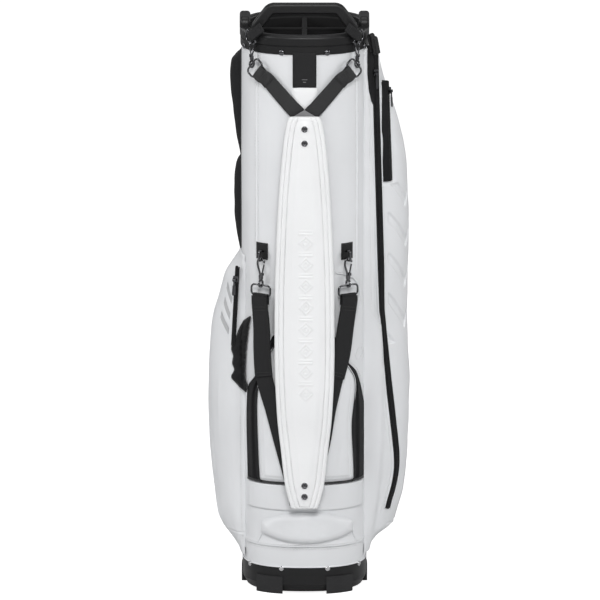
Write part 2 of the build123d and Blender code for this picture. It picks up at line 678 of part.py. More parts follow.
with BuildPart() as cuff_anchor_loops:
    for s, plane in cuff_ring_planes:
        run = bar_direction(plane)
        away = (plane.x_dir * BAR_SIN + Vector(0, 0, 1) * BAR_COS).normalized()
        flap = Plane(origin=plane.origin, x_dir=run, z_dir=run.cross(away))
        rod(Plane(origin=plane.origin - run * (LOOP_LENGTH / 2), z_dir=run), 3.2, LOOP_LENGTH)
        with BuildSketch(flap):
            with Locations((0, 9)):
                Rectangle(LOOP_LENGTH, 18)
        extrude(amount=s * 9)
        with BuildSketch(flap):
            with Locations((0, 8)):
                Rectangle(LOOP_LENGTH, 16)
        extrude(amount=-s * 1.2)
    add(cuff_ring.part, mode=Mode.SUBTRACT)
    add(front_grip.part, mode=Mode.SUBTRACT)
    add(side_grips.part, mode=Mode.SUBTRACT)
    oval_prism(CUFF_HALF_W + 0.2, 870, 960, mode=Mode.SUBTRACT)
    for s, plane in cuff_ring_planes:
        run = bar_direction(plane)
        rod(Plane(origin=plane.origin - run * 13, z_dir=run), WIRE_BORE, 26, mode=Mode.SUBTRACT)

# rings that the lower hooks hang on, and the leather tabs on the tube that hold them
ANCHOR_W, ANCHOR_H = 12, 16

with BuildPart() as mid_anchor_rings:
    for side, s in SIDES:
        wire_loop(hook_plane(LOWER.at(s, LOWER.z + ANCHOR_H / 2), LOWER.outward(s)),
                  ANCHOR_W, ANCHOR_H, 4)

with BuildPart() as mid_anchor_tabs:
    skin(530, 585, 0.4, 3.0)
    with BuildSketch(Plane.XZ):
        for s in (-1, 1):
            outline([(s * 77, 540), (s * 60, 540), (s * 60, 575), (s * 77, 575)])
    extrude(amount=CLIP_DEPTH, mode=Mode.INTERSECT)
    for s in (-1, 1):
        outward = LOWER.outward(s)
        spot = LOWER.at(s, 0) - outward * (ANCHOR_W / 2)
        with BuildSketch(Plane(origin=(spot.X, spot.Y, LOWER.z + 3.2), x_dir=outward,
                               z_dir=(0, 0, 1))):
            Circle(3.3)
            with Locations((-2.6, 0)):
                Rectangle(4.4, 6.6)
        extrude(amount=9.6)
        rod(Plane(origin=(spot.X, spot.Y, LOWER.z), z_dir=(0, 0, 1)), WIRE_BORE, ANCHOR_H,
            mode=Mode.SUBTRACT)
    add(body_shell.part, mode=Mode.SUBTRACT)

# ---------------------------------------------------------------- shoulder strap pad
# The pad lies in a plane that leans away from the bag towards its foot.
PAD_TOP, PAD_FOOT = 783.0, 147.0
PAD_FOOT_HALF_W = 21
PAD_THICK = 9.6              # from the back of the lining to the front of the pad
LEAN = atan2(16.0, 640.0)
pad_plane = Plane(origin=(0, -112.6, PAD_TOP), x_dir=(1, 0, 0), z_dir=(0, -cos(LEAN), sin(LEAN)))
# (z, half width)
PAD_EDGE = [(780, 25), (776, 26.8), (733, 33.8), (651, 40.7), (569, 44.7), (487, 47), (408, 47.3),
            (377, 47), (295, 43.1), (241, 37.2), (185, 30.8), (158, 24.2)]


def pad_face(inset=0.0):
    """Adds the pad's outline; the inset narrows the sides and raises the foot."""
    right = [(half_w - inset, z - PAD_TOP) for z, half_w in PAD_EDGE]
    left = [(-x, y) for x, y in reversed(right)]
    foot_x, foot_y = PAD_FOOT_HALF_W - inset, PAD_FOOT - PAD_TOP + inset
    with BuildLine() as rim:
        Spline(*right)
        Line(right[-1], (foot_x, foot_y))
        Line((foot_x, foot_y), (-foot_x, foot_y))
        Line((-foot_x, foot_y), left[0])
        Spline(*left)
        Line(left[-1], right[0])
    make_face(rim.edges())


with BuildPart() as strap_rivets:
    face = pad_plane.offset(PAD_THICK)
    for z in (764, 741, 185, 167):
        with BuildSketch(Plane(origin=face.from_local_coords((0, z - PAD_TOP, 0)),
                               z_dir=face.z_dir)):
            Circle(4.8)
        extrude(amount=1.6, taper=30)
        rod(Plane(origin=face.from_local_coords((0, z - PAD_TOP, -9.5)), z_dir=face.z_dir),
            1.6, 9.6)

with BuildPart() as strap_pad:
    with BuildSketch(pad_plane.offset(2.0)):
        pad_face()
    extrude(amount=5.0)
    with BuildSketch(pad_plane.offset(7.0)):
        pad_face(7.0)
    extrude(amount=2.6)
    add(strap_rivets.part, mode=Mode.SUBTRACT)

with BuildPart() as strap_lining:
    with BuildSketch(pad_plane):
        pad_face(1.0)
    extrude(amount=1.9)
    add(strap_rivets.part, mode=Mode.SUBTRACT)


# ---------------------------------------------------------------- strap webs
def upper_web(side, s):
    """Half of the V web over the front of the tube, ending in a loop round the D-ring's bar."""
    bar, inward, outward = lower_bars[side]
    across = outward.cross(inward).normalized()
    with BuildPart() as web:
        skin(730, 890, 4.6, 6.8)
        with BuildSketch(Plane.XZ):
            outline([(s * 0.4, 752), (s * 22, 752), (s * 30, 784.0),
                     (s * (abs(bar.X) + 4.0), bar.Z - 7.5), (s * (abs(bar.X) - 8.5), bar.Z + 9.5),
                     (s * 13, 804), (s * 0.4, 792)])
        extrude(amount=CLIP_DEPTH, mode=Mode.INTERSECT)
        rod(Plane(origin=bar - across * 10, z_dir=across), WEB_LOOP_R, 20)
        # flat that joins the loop to the web
        with BuildSketch(Plane(origin=bar - outward * 2.3, x_dir=across, z_dir=outward)):
            Rectangle(20, 12)
        extrude(amount=-2.6)
        rod(Plane(origin=bar - across * 14, z_dir=across), WIRE_BORE, 28, mode=Mode.SUBTRACT)
        oval_prism(TUBE_HALF_W + 0.9, 740, 900, mode=Mode.SUBTRACT)
    return web.part


LOWER_BAR_Z = LOWER_RING_TOP - D_RING_H

with BuildPart() as lower_web_loops:
    for side, s in SIDES:
        tangent = LOWER.tangent(s)
        with BuildSketch(Plane(origin=LOWER.at(s, LOWER_BAR_Z) - tangent * 13, z_dir=tangent)):
            Circle(WEB_LOOP_R)
            Circle(WIRE_BORE, mode=Mode.SUBTRACT)
        extrude(amount=26)


def lower_web(s):
    """Flat web from the lower D-ring down to the foot of the pad, behind it."""
    # (centre, direction across the web, direction down the web)
    stations = [
        (LOWER.at(s, LOWER_BAR_Z - 3.6), LOWER.tangent(s), (0, 0, -1)),
        (Vector(s * 66, -108.7, 353), Vector(0.94, s * 0.34, 0), Vector(-s * 0.1, -0.03, -1)),
        (Vector(s * 42, -119.4, 260), Vector(0.985, s * 0.17, 0), Vector(-s * 0.25, -0.03, -1)),
        (Vector(s * 17, -125.2, 166), Vector(1, 0, 0), Vector(-s * 0.25, -0.03, -1)),
    ]
    with BuildPart() as web:
        for centre, across, down in stations:
            with BuildSketch(Plane(origin=centre, x_dir=across, z_dir=down)):
                Rectangle(28, 2.0)
        loft(ruled=True)
        add(strap_lining.part, mode=Mode.SUBTRACT)
        add(strap_rivets.part, mode=Mode.SUBTRACT)
    return web.part


with BuildPart() as upper_webs:
    for side, s in SIDES:
        add(upper_web(side, s))

with BuildPart() as lower_webs:
    for side, s in SIDES:
        add(lower_web(s))

# ---------------------------------------------------------------- write every piece
pieces = {
    "base_shell": base_shell, "base_feet": base_feet, "base_collar": base_collar,
    "base_rivets": base_rivets, "body_shell": body_shell, "spine_stays": spine_stays,
    "cuff_ring": cuff_ring, "front_grip": front_grip, "side_grips": side_grips,
    "cuff_screws": cuff_screws, "divider_frame": divider_frame, "divider_panels": divider_panels,
    "centre_web_tab": centre_web_tab, "centre_leather_tab": centre_leather_tab,
    "front_pocket": front_pocket, "front_gussets": front_gussets, "lower_band": lower_band,
    "lift_handle": lift_handle, "right_pocket": right_pocket, "left_pocket": left_pocket,
    "left_upper_pocket": left_upper_pocket, "left_middle_pocket": left_middle_pocket,
    "back_ball_pocket": back_ball_pocket, "back_upper_pocket": back_upper_pocket,
    "bottle_sleeve": bottle_sleeve, "cuff_d_rings": cuff_d_rings,
    "cuff_anchor_loops": cuff_anchor_loops, "mid_anchor_rings": mid_anchor_rings,
    "mid_anchor_tabs": mid_anchor_tabs, "upper_swivels": upper_swivels,
    "lower_swivels": lower_swivels, "upper_d_rings": upper_d_rings,
    "lower_d_rings": lower_d_rings, "lower_web_loops": lower_web_loops,
    "upper_webs": upper_webs, "lower_webs": lower_webs, "strap_pad": strap_pad,
    "strap_lining": strap_lining, "strap_rivets": strap_rivets, **zip_parts,
}
for name, (hook_body, hook_gate) in hooks.items():
    pieces[name + "_hook"] = hook_body
    pieces[name + "_gate"] = hook_gate

for name, piece in pieces.items():
    piece.part.label = name
    export_step(piece.part, f"parts/{name}.step")
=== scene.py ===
"""Golf staff bag, visual model. Lengths inside the helpers are millimetres and become metres when a mesh is made."""
import math

import bmesh
import bpy
import numpy as np
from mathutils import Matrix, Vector


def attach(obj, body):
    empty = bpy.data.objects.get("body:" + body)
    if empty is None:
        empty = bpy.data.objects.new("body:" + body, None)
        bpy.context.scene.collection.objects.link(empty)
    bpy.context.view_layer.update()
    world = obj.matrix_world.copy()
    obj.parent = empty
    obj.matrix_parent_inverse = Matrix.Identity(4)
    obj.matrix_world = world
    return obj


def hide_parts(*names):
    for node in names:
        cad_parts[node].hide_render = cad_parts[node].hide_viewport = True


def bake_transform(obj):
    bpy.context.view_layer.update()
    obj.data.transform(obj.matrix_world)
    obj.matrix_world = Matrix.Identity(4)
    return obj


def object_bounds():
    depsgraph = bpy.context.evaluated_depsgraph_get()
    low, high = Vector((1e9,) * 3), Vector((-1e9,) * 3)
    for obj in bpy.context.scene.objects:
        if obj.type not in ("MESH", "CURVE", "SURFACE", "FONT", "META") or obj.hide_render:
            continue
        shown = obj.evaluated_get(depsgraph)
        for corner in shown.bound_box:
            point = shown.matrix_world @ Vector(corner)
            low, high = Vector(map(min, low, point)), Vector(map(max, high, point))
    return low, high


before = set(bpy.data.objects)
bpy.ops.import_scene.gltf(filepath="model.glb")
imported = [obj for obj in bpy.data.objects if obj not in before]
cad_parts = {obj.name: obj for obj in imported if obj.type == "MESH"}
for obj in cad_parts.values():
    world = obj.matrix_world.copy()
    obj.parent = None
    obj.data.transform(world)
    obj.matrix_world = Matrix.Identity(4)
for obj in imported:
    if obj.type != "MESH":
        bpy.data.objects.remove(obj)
CAD_LO, CAD_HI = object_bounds()
N, A, B = 2.5, 100.5, 104.5
rng = np.random.default_rng(7)


# ================================================================= materials
def new_material(name, color, rough, metallic=0.0, sheen=0.0, coat=0.0):
    m = bpy.data.materials.new(name)
    m.use_nodes = True
    nt = m.node_tree
    b = nt.nodes["Principled BSDF"]
    b.inputs["Base Color"].default_value = (*color, 1)
    b.inputs["Roughness"].default_value = rough
    b.inputs["Metallic"].default_value = metallic
    if sheen:
        b.inputs["Sheen Weight"].default_value = sheen
        b.inputs["Sheen Roughness"].default_value = 0.5
    if coat:
        b.inputs["Coat Weight"].default_value = coat
        b.inputs["Coat Roughness"].default_value = 0.25
    return m, nt, b


def node(nt, kind, **values):
    n = nt.nodes.new(kind)
    for k, v in values.items():
        if hasattr(n, k):
            setattr(n, k, v)
        else:
            n.inputs[k.replace("_", " ")].default_value = v
    return n


def mathn(nt, op, a, b=None, c=None):
    n = nt.nodes.new("ShaderNodeMath")
    n.operation = op
    for i, v in enumerate((a, b, c)):
        if v is None:
            continue
        if isinstance(v, (int, float)):
            n.inputs[i].default_value = v
        else:
            nt.links.new(v, n.inputs[i])
    return n.outputs[0]


def vary(nt, b, color, vec, scale, amount):
    """Soft colour drift between two shades of the same colour."""
    noise = node(nt, "ShaderNodeTexNoise")
    noise.inputs["Scale"].default_value = scale
    noise.inputs["Detail"].default_value = 4
    nt.links.new(vec, noise.inputs["Vector"])
    ramp = nt.nodes.new("ShaderNodeValToRGB")
    ramp.color_ramp.elements[0].position = 0.3
    ramp.color_ramp.elements[1].position = 0.7
    ramp.color_ramp.elements[0].color = (*[c * (1 - amount) for c in color], 1)
    ramp.color_ramp.elements[1].color = (*[min(1, c * (1 + amount * 0.6)) for c in color], 1)
    nt.links.new(noise.outputs[0], ramp.inputs[0])
    nt.links.new(ramp.outputs[0], b.inputs["Base Color"])
    return noise, ramp


def add_bump(nt, b, height, strength, distance, normal=None):
    bump = nt.nodes.new("ShaderNodeBump")
    bump.inputs["Strength"].default_value = strength
    bump.inputs["Distance"].default_value = distance
    nt.links.new(height, bump.inputs["Height"])
    if normal is not None:
        nt.links.new(normal, bump.inputs["Normal"])
    nt.links.new(bump.outputs[0], b.inputs["Normal"])
    return bump.outputs[0]


def leather(name, color, grain=780.0, bump=0.28, rough=0.46):
    m, nt, b = new_material(name, color, rough, sheen=0.08, coat=0.12)
    tc = node(nt, "ShaderNodeTexCoord")
    vec = tc.outputs["Object"]
    vary(nt, b, color, vec, 9.0, 0.035)
    cells = node(nt, "ShaderNodeTexVoronoi")
    cells.feature = "DISTANCE_TO_EDGE"
    cells.inputs["Scale"].default_value = grain
    warp = node(nt, "ShaderNodeTexNoise")
    warp.inputs["Scale"].default_value = grain * 0.35
    nt.links.new(vec, warp.inputs["Vector"])
    mix = nt.nodes.new("ShaderNodeMix")
    mix.data_type = "VECTOR"
    mix.inputs[0].default_value = 0.0012
    add = nt.nodes.new("ShaderNodeVectorMath")
    add.operation = "MULTIPLY_ADD"
    add.inputs[1].default_value = (0.0014, 0.0014, 0.0014)
    nt.links.new(warp.outputs["Color"], add.inputs[0])
    nt.links.new(vec, add.inputs[2])
    nt.links.new(add.outputs[0], cells.inputs["Vector"])
    edge = mathn(nt, "MINIMUM", mathn(nt, "MULTIPLY", cells.outputs["Distance"], 3.2), 1.0)
    fine = node(nt, "ShaderNodeTexNoise")
    fine.inputs["Scale"].default_value = grain * 2.2
    nt.links.new(vec, fine.inputs["Vector"])
    h = mathn(nt, "ADD", edge, mathn(nt, "MULTIPLY", fine.outputs[0], 0.35))
    wide = node(nt, "ShaderNodeTexNoise")
    wide.inputs["Scale"].default_value = 34.0
    wide.inputs["Detail"].default_value = 3
    nt.links.new(vec, wide.inputs["Vector"])
    first = add_bump(nt, b, wide.outputs[0], 0.10, 0.004)
    add_bump(nt, b, h, bump, 0.00018, normal=first)
    r = mathn(nt, "ADD", mathn(nt, "MULTIPLY", wide.outputs[0], 0.14), rough - 0.07)
    nt.links.new(r, b.inputs["Roughness"])
    return m


def webbing(name, color, pitch=1.5):
    """Flat woven tape: UV u across and v along, both in metres."""
    m, nt, b = new_material(name, color, 0.8, sheen=0.03)
    b.inputs["Specular IOR Level"].default_value = 0.22
    uv = node(nt, "ShaderNodeUVMap")
    sep = node(nt, "ShaderNodeSeparateXYZ")
    nt.links.new(uv.outputs[0], sep.inputs[0])
    k = 2 * math.pi / (pitch * 0.001)
    u = mathn(nt, "MULTIPLY", sep.outputs[0], k)
    v = mathn(nt, "MULTIPLY", sep.outputs[1], k * 0.8)
    herring = mathn(nt, "ADD", v, mathn(nt, "MULTIPLY", mathn(nt, "PINGPONG", sep.outputs[0], 0.003), k * 0.9))
    rib = mathn(nt, "SINE", herring)
    warp = mathn(nt, "SINE", u)
    h = mathn(nt, "ADD", mathn(nt, "MULTIPLY", rib, 0.6), mathn(nt, "MULTIPLY", warp, 0.35))
    noise = node(nt, "ShaderNodeTexNoise")
    noise.inputs["Scale"].default_value = 900
    nt.links.new(uv.outputs[0], noise.inputs["Vector"])
    h2 = mathn(nt, "ADD", h, mathn(nt, "MULTIPLY", noise.outputs[0], 0.5))
    add_bump(nt, b, h2, 0.75, 0.0005)
    # Colour follows the weave height: painted shade in the grooves and painted highlight on the ridges.
    ramp = nt.nodes.new("ShaderNodeValToRGB")
    ramp.color_ramp.elements[0].color = (*[c * 0.55 for c in color], 1)
    ramp.color_ramp.elements[1].color = (*[c * 1.55 for c in color], 1)
    nt.links.new(mathn(nt, "MULTIPLY_ADD", h, 0.5, 0.5), ramp.inputs[0])
    nt.links.new(ramp.outputs[0], b.inputs["Base Color"])
    return m


def netting(name, color):
    """Knitted mesh: staggered dark holes, in UV metres."""
    m, nt, b = new_material(name, color, 0.85, sheen=0.03)
    b.inputs["Specular IOR Level"].default_value = 0.2
    uv = node(nt, "ShaderNodeUVMap")
    cells = node(nt, "ShaderNodeTexVoronoi")
    cells.inputs["Scale"].default_value = 620
    cells.inputs["Randomness"].default_value = 0.18
    nt.links.new(uv.outputs[0], cells.inputs["Vector"])
    ramp = nt.nodes.new("ShaderNodeValToRGB")
    ramp.color_ramp.elements[0].position = 0.22
    ramp.color_ramp.elements[1].position = 0.42
    ramp.color_ramp.elements[0].color = (*[c * 0.25 for c in color], 1)
    ramp.color_ramp.elements[1].color = (*[c * 1.35 for c in color], 1)
    nt.links.new(cells.outputs["Distance"], ramp.inputs[0])
    nt.links.new(ramp.outputs[0], b.inputs["Base Color"])
    add_bump(nt, b, cells.outputs["Distance"], 0.8, 0.0006)
    return m


def cloth(name, color, scale=1500.0, rough=0.85):
    """Plain fine cloth in object space, for linings and zip tapes."""
    m, nt, b = new_material(name, color, rough, sheen=0.04)
    b.inputs["Specular IOR Level"].default_value = 0.25
    tc = node(nt, "ShaderNodeTexCoord")
    sep = node(nt, "ShaderNodeSeparateXYZ")
    nt.links.new(tc.outputs["Object"], sep.inputs[0])
    a = mathn(nt, "SINE", mathn(nt, "MULTIPLY", sep.outputs[2], scale * 4))
    c = mathn(nt, "SINE", mathn(nt, "MULTIPLY", mathn(nt, "ADD", sep.outputs[0], sep.outputs[1]), scale * 4))
    h = mathn(nt, "MULTIPLY", a, c)
    vary(nt, b, color, tc.outputs["Object"], 40.0, 0.25)
    add_bump(nt, b, h, 0.5, 0.0003)
    return m


def moulded(name, color, rough=0.45, grain=1400.0, strength=0.35):
    m, nt, b = new_material(name, color, rough)
    b.inputs["Specular IOR Level"].default_value = 0.35
    tc = node(nt, "ShaderNodeTexCoord")
    vec = tc.outputs["Object"]
    vary(nt, b, color, vec, 30.0, 0.12)
    n1 = node(nt, "ShaderNodeTexNoise")
    n1.inputs["Scale"].default_value = grain
    n1.inputs["Detail"].default_value = 5
    nt.links.new(vec, n1.inputs["Vector"])
    add_bump(nt, b, n1.outputs[0], strength, 0.0003)
    n2 = node(nt, "ShaderNodeTexNoise")
    n2.inputs["Scale"].default_value = 45
    nt.links.new(vec, n2.inputs["Vector"])
    nt.links.new(mathn(nt, "MULTIPLY_ADD", n2.outputs[0], 0.16, rough - 0.08), b.inputs["Roughness"])
    return m


def metal(name, color, rough=0.16):
    m, nt, b = new_material(name, color, rough, metallic=1.0)
    tc = node(nt, "ShaderNodeTexCoord")
    n = node(nt, "ShaderNodeTexNoise")
    n.inputs["Scale"].default_value = 260
    n.inputs["Detail"].default_value = 4
    nt.links.new(tc.outputs["Object"], n.inputs["Vector"])
    nt.links.new(mathn(nt, "MULTIPLY_ADD", n.outputs[0], 0.18, rough - 0.06), b.inputs["Roughness"])
    add_bump(nt, b, n.outputs[0], 0.08, 0.0004)
    return m


WHITE = leather("white_leather_skin", (0.80, 0.81, 0.825))
PADWHITE = leather("strap_leather_skin", (0.90, 0.905, 0.91), grain=900, bump=0.2, rough=0.42)
THREAD = cloth("white_thread", (0.80, 0.80, 0.80), 4000, 0.6)
DKTHREAD = cloth("black_thread", (0.05, 0.05, 0.05), 4000, 0.6)
GREYCLOTH = cloth("grey_backing", (0.22, 0.22, 0.225), 1600)
PRINT = leather("grey_print", (0.50, 0.505, 0.515), grain=900, bump=0.2, rough=0.5)
WEB = webbing("black_web_weave", (0.021, 0.021, 0.022))
WEBUP = webbing("upper_web_weave", (0.040, 0.040, 0.041))
MESH = netting("black_mesh_knit", (0.014, 0.014, 0.015))
TAPE = cloth("zip_tape_weave", (0.012, 0.012, 0.013), 1900)
COIL = moulded("zip_teeth_nylon", (0.016, 0.016, 0.017), 0.35, 600, 0.1)
FOAM = moulded("divider_foam_skin", (0.004, 0.004, 0.0043), 0.8, 900, 0.5)
LINING = cloth("black_lining", (0.015, 0.015, 0.016), 1500)
PLASTIC = moulded("black_moulding_skin", (0.009, 0.009, 0.0095), 0.42)
PIPING = leather("black_piping", (0.013, 0.013, 0.014), grain=900, bump=0.2, rough=0.4)
RUBBER = moulded("black_rubber_skin", (0.021, 0.021, 0.022), 0.5, 900, 0.5)
NICKEL = metal("black_nickel", (0.13, 0.13, 0.137), 0.15)
CHROME = metal("polished_nickel", (0.62, 0.62, 0.63), 0.16)
ALU = metal("aluminium_rod", (0.6, 0.6, 0.62), 0.35)


# ================================================================= shape maths
def oval_r(phi, off=0.0):
    phi = np.radians(phi)
    s, c = np.abs(np.sin(phi)), np.abs(np.cos(phi))
    return ((s / (A + off)) ** N + (c / (B + off)) ** N) ** (-1 / N)


def polar(r, phi, z):
    phi = np.radians(phi)
    return np.stack([r * np.sin(phi), -r * np.cos(phi), z + 0 * r], -1)


def pchip(x, y, xi):
    """Smooth curve through the points with no overshoot."""
    x, y, xi = np.asarray(x, float), np.asarray(y, float), np.asarray(xi, float)
    h = np.diff(x)
    d = np.diff(y, axis=0) / (h if y.ndim == 1 else h[:, None])
    m = np.zeros_like(y)
    m[1:-1] = np.where(d[:-1] * d[1:] > 0, 2 * d[:-1] * d[1:] / (d[:-1] + d[1:] + 1e-12), 0)
    m[0], m[-1] = d[0], d[-1]
    xi = np.clip(xi, x[0], x[-1])
    i = np.clip(np.searchsorted(x, xi) - 1, 0, len(x) - 2)
    t = (xi - x[i]) / h[i]
    if y.ndim == 2:
        t, hh = t[:, None], h[i][:, None]
    else:
        hh = h[i]
    return ((2 * t ** 3 - 3 * t ** 2 + 1) * y[i] + (t ** 3 - 2 * t ** 2 + t) * hh * m[i]
            + (-2 * t ** 3 + 3 * t ** 2) * y[i + 1] + (t ** 3 - t ** 2) * hh * m[i + 1])


def body_off(z):
    """The tube narrows a little towards the base."""
    return np.interp(z, [43.4, 60, 80], [-2.7, -1.0, 0.0])


class Surface:
    """A skin over (phi, z) in degrees and millimetres: height above the tube from a function."""

    def __init__(self, height):
        self.height = height

    def raw(self, phi, z):
        phi, z = np.broadcast_arrays(np.asarray(phi, float), np.asarray(z, float))
        return polar(oval_r(phi) + self.height(phi, z), phi, z)

    def normal(self, phi, z):
        e = 0.25
        phi, z = np.broadcast_arrays(np.asarray(phi, float), np.asarray(z, float))
        du = self.raw(phi + e, z) - self.raw(phi - e, z)
        dv = self.raw(phi, z + e) - self.raw(phi, z - e)
        n = np.cross(du, dv)
        return n / (np.linalg.norm(n, axis=-1, keepdims=True) + 1e-9)

    def at(self, phi, z, off=0.0):
        p = self.raw(phi, z)
        off = np.asarray(off, float)
        if np.all(off == 0):
            return p
        return p + self.normal(phi, z) * (off[..., None] if off.ndim else off)


body = Surface(lambda phi, z: body_off(z))


def level_height(levels, phis):
    """Height function through level profiles, smooth both ways."""
    zs = np.array([lv[0] for lv in levels], float)
    grid = np.linspace(phis[0], phis[1], 181)
    rows = []
    for z, pts in levels:
        xs = np.array([phis[0]] + [p for p, _ in pts] + [phis[1]], float)
        ys = np.array([0.6] + [h for _, h in pts] + [0.6], float)
        rows.append(pchip(xs, ys, grid))
    rows = np.array(rows)

    def height(phi, z):
        phi, z = np.broadcast_arrays(np.asarray(phi, float), np.asarray(z, float))
        shape = phi.shape
        f, zz = phi.ravel(), z.ravel()
        cols = pchip(zs, rows, zz)
        t = np.clip((f - grid[0]) / (grid[1] - grid[0]), 0, len(grid) - 1.001)
        i = t.astype(int)
        w = t - i
        k = np.arange(len(f))
        h = cols[k, i] * (1 - w) + cols[k, i + 1] * w
        return h.reshape(shape)

    return height


# ================================================================= mesh makers
def finish_mesh(ob, mat, rides, nodes=(), mats=None, smooth=True):
    me = ob.data
    for m in (mats or [mat]):
        me.materials.append(m)
    if smooth:
        me.shade_smooth()
    if rides is None:
        return ob
    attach(ob, rides)
    if nodes:
        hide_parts(*nodes)
    return ob


def raw_mesh(name, verts, faces, uvs=None, face_mats=None):
    me = bpy.data.meshes.new(name)
    me.from_pydata((np.asarray(verts, float) * 0.001).tolist(), [], faces)
    if uvs is not None:
        layer = me.uv_layers.new(name="UVMap")
        idx = np.zeros(len(me.loops), int)
        me.loops.foreach_get("vertex_index", idx)
        layer.data.foreach_set("uv", np.asarray(uvs, float)[idx].ravel())
    if face_mats is not None:
        me.polygons.foreach_set("material_index", np.asarray(face_mats, int))
    me.update()
    ob = bpy.data.objects.new(name, me)
    bpy.context.scene.collection.objects.link(ob)
    return ob


def grid_faces(nv, nu, wrap=False, base=0, flip=False):
    f = []
    last = nu if wrap else nu - 1
    for j in range(nv - 1):
        for i in range(last):
            a, b = base + j * nu + i, base + j * nu + (i + 1) % nu
            q = (a, b, b + nu, a + nu)
            f.append(q[::-1] if flip else q)
    return f


def grid_object(name, P, mat, rides="bag", nodes=(), wrap=False, uv=None, mats=None, mask=None, flip=False):
    nv, nu = P.shape[:2]
    faces = grid_faces(nv, nu, wrap, flip=flip)
    uvs = uv.reshape(-1, 2) if uv is not None else None
    fm = None
    if mask is not None:
        fm = mask.reshape(-1)
    ob = raw_mesh(name, P.reshape(-1, 3), faces, uvs, fm)
    return finish_mesh(ob, mat, rides, nodes, mats)


class Soup:
    """Collects many small pieces into one mesh."""

    def __init__(self):
        self.v, self.f, self.n = [], [], 0

    def add(self, v, f):
        self.v.append(np.asarray(v, float))
        self.f += [tuple(i + self.n for i in q) for q in f]
        self.n += len(v)

    def make(self, name, mat, rides, nodes=(), slot=None, smooth=True):
        if not self.v:
            return None
        return finish_mesh(raw_mesh(name, np.concatenate(self.v), self.f), mat, rides, nodes, smooth=smooth)


def resample(P, step, closed=False):
    P = np.asarray(P, float)
    if closed:
        P = np.vstack([P, P[:1]])
    d = np.r_[0, np.cumsum(np.linalg.norm(np.diff(P, axis=0), axis=1))]
    n = max(2, int(round(d[-1] / step)) + 1)
    s = np.linspace(0, d[-1], n)
    out = np.stack([np.interp(s, d, P[:, k]) for k in range(P.shape[1])], 1)
    return out[:-1] if closed else out


def smooth_path(P, n=120):
    """Dense smooth curve through a few points."""
    P = np.asarray(P, float)
    d = np.r_[0, np.cumsum(np.linalg.norm(np.diff(P, axis=0), axis=1))]
    m = np.zeros_like(P)
    for k in range(1, len(P) - 1):
        m[k] = (P[k + 1] - P[k - 1]) / (d[k + 1] - d[k - 1])
    m[0] = (P[1] - P[0]) / (d[1] - d[0])
    m[-1] = (P[-1] - P[-2]) / (d[-1] - d[-2])
    s = np.linspace(0, d[-1], n)
    i = np.clip(np.searchsorted(d, s) - 1, 0, len(P) - 2)
    h = (d[i + 1] - d[i])[:, None]
    t = ((s - d[i]) / (d[i + 1] - d[i]))[:, None]
    return ((2 * t ** 3 - 3 * t ** 2 + 1) * P[i] + (t ** 3 - 2 * t ** 2 + t) * h * m[i]
            + (-2 * t ** 3 + 3 * t ** 2) * P[i + 1] + (t ** 3 - t ** 2) * h * m[i + 1])


def unit(v):
    v = np.asarray(v, float)
    return v / (np.linalg.norm(v, axis=-1, keepdims=True) + 1e-12)


def tangents(P, closed=False):
    if closed:
        return unit(np.roll(P, -1, 0) - np.roll(P, 1, 0))
    return unit(np.gradient(P, axis=0))


def tube(soup, P, radius, closed=False, sides=10, normals=None, squash=1.0, caps=True):
    P = np.asarray(P, float)
    T = tangents(P, closed)
    if normals is None:
        ref = np.array([0, 0, 1.0]) if abs(T[0][2]) < 0.9 else np.array([1.0, 0, 0])
        Nn = [unit(ref - T[0] * ref.dot(T[0]))]
        for k in range(1, len(P)):
            v = Nn[-1] - T[k] * Nn[-1].dot(T[k])
            Nn.append(unit(v))
        Nn = np.array(Nn)
    else:
        Nn = unit(normals - T * np.sum(normals * T, 1, keepdims=True))
    Bn = np.cross(T, Nn)
    a = np.linspace(0, 2 * math.pi, sides, endpoint=False)
    r = np.broadcast_to(np.asarray(radius, float), (len(P),))
    ring = (P[:, None] + Nn[:, None] * (np.cos(a) * squash)[None, :, None] * r[:, None, None]
            + Bn[:, None] * np.sin(a)[None, :, None] * r[:, None, None])
    n = len(P)
    f = []
    for j in range(n if closed else n - 1):
        for i in range(sides):
            a0, a1 = j * sides + i, j * sides + (i + 1) % sides
            b0, b1 = ((j + 1) % n) * sides + i, ((j + 1) % n) * sides + (i + 1) % sides
            f.append((a0, a1, b1, b0))
    if not closed and caps:
        f.append(tuple(range(sides))[::-1])
        f.append(tuple((n - 1) * sides + i for i in range(sides)))
    soup.add(ring.reshape(-1, 3), f)


def capsule(soup, a, b, n, r):
    """One stitch: a short fat thread lying on the surface."""
    a, b, n = np.asarray(a), np.asarray(b), np.asarray(n)
    t = unit(b - a)
    s = np.cross(t, n)
    prof = ((0.0, 0.25), (0.18, 0.85), (0.5, 1.0), (0.82, 0.85), (1.0, 0.25))
    v = []
    for f, k in prof:
        c = a + (b - a) * f
        for j in range(6):
            w = j * math.pi / 3
            v.append(c + (s * math.cos(w) + n * (math.sin(w) * 0.9)) * r * k)
    f = []
    for j in range(4):
        for i in range(6):
            f.append((j * 6 + i, j * 6 + (i + 1) % 6, (j + 1) * 6 + (i + 1) % 6, (j + 1) * 6 + i))
    f.append(tuple(range(5, -1, -1)))
    f.append(tuple(24 + i for i in range(6)))
    soup.add(v, f)


def stitch(soup, P, Nn, pitch=5.0, length=3.4, r=0.42, lift=0.12):
    """A run of stitches along a path with surface normals."""
    P, Nn = np.asarray(P, float), np.asarray(Nn, float)
    d = np.r_[0, np.cumsum(np.linalg.norm(np.diff(P, axis=0), axis=1))]
    both = np.hstack([P, Nn])

    def sample(s):
        return np.array([np.interp(s, d, both[:, k]) for k in range(6)])

    s = pitch * 0.3
    while s + length < d[-1]:
        p, q = sample(s), sample(s + length)
        n = unit(p[3:])
        capsule(soup, p[:3] + n * lift, q[:3] + n * lift, n, r)
        s += pitch


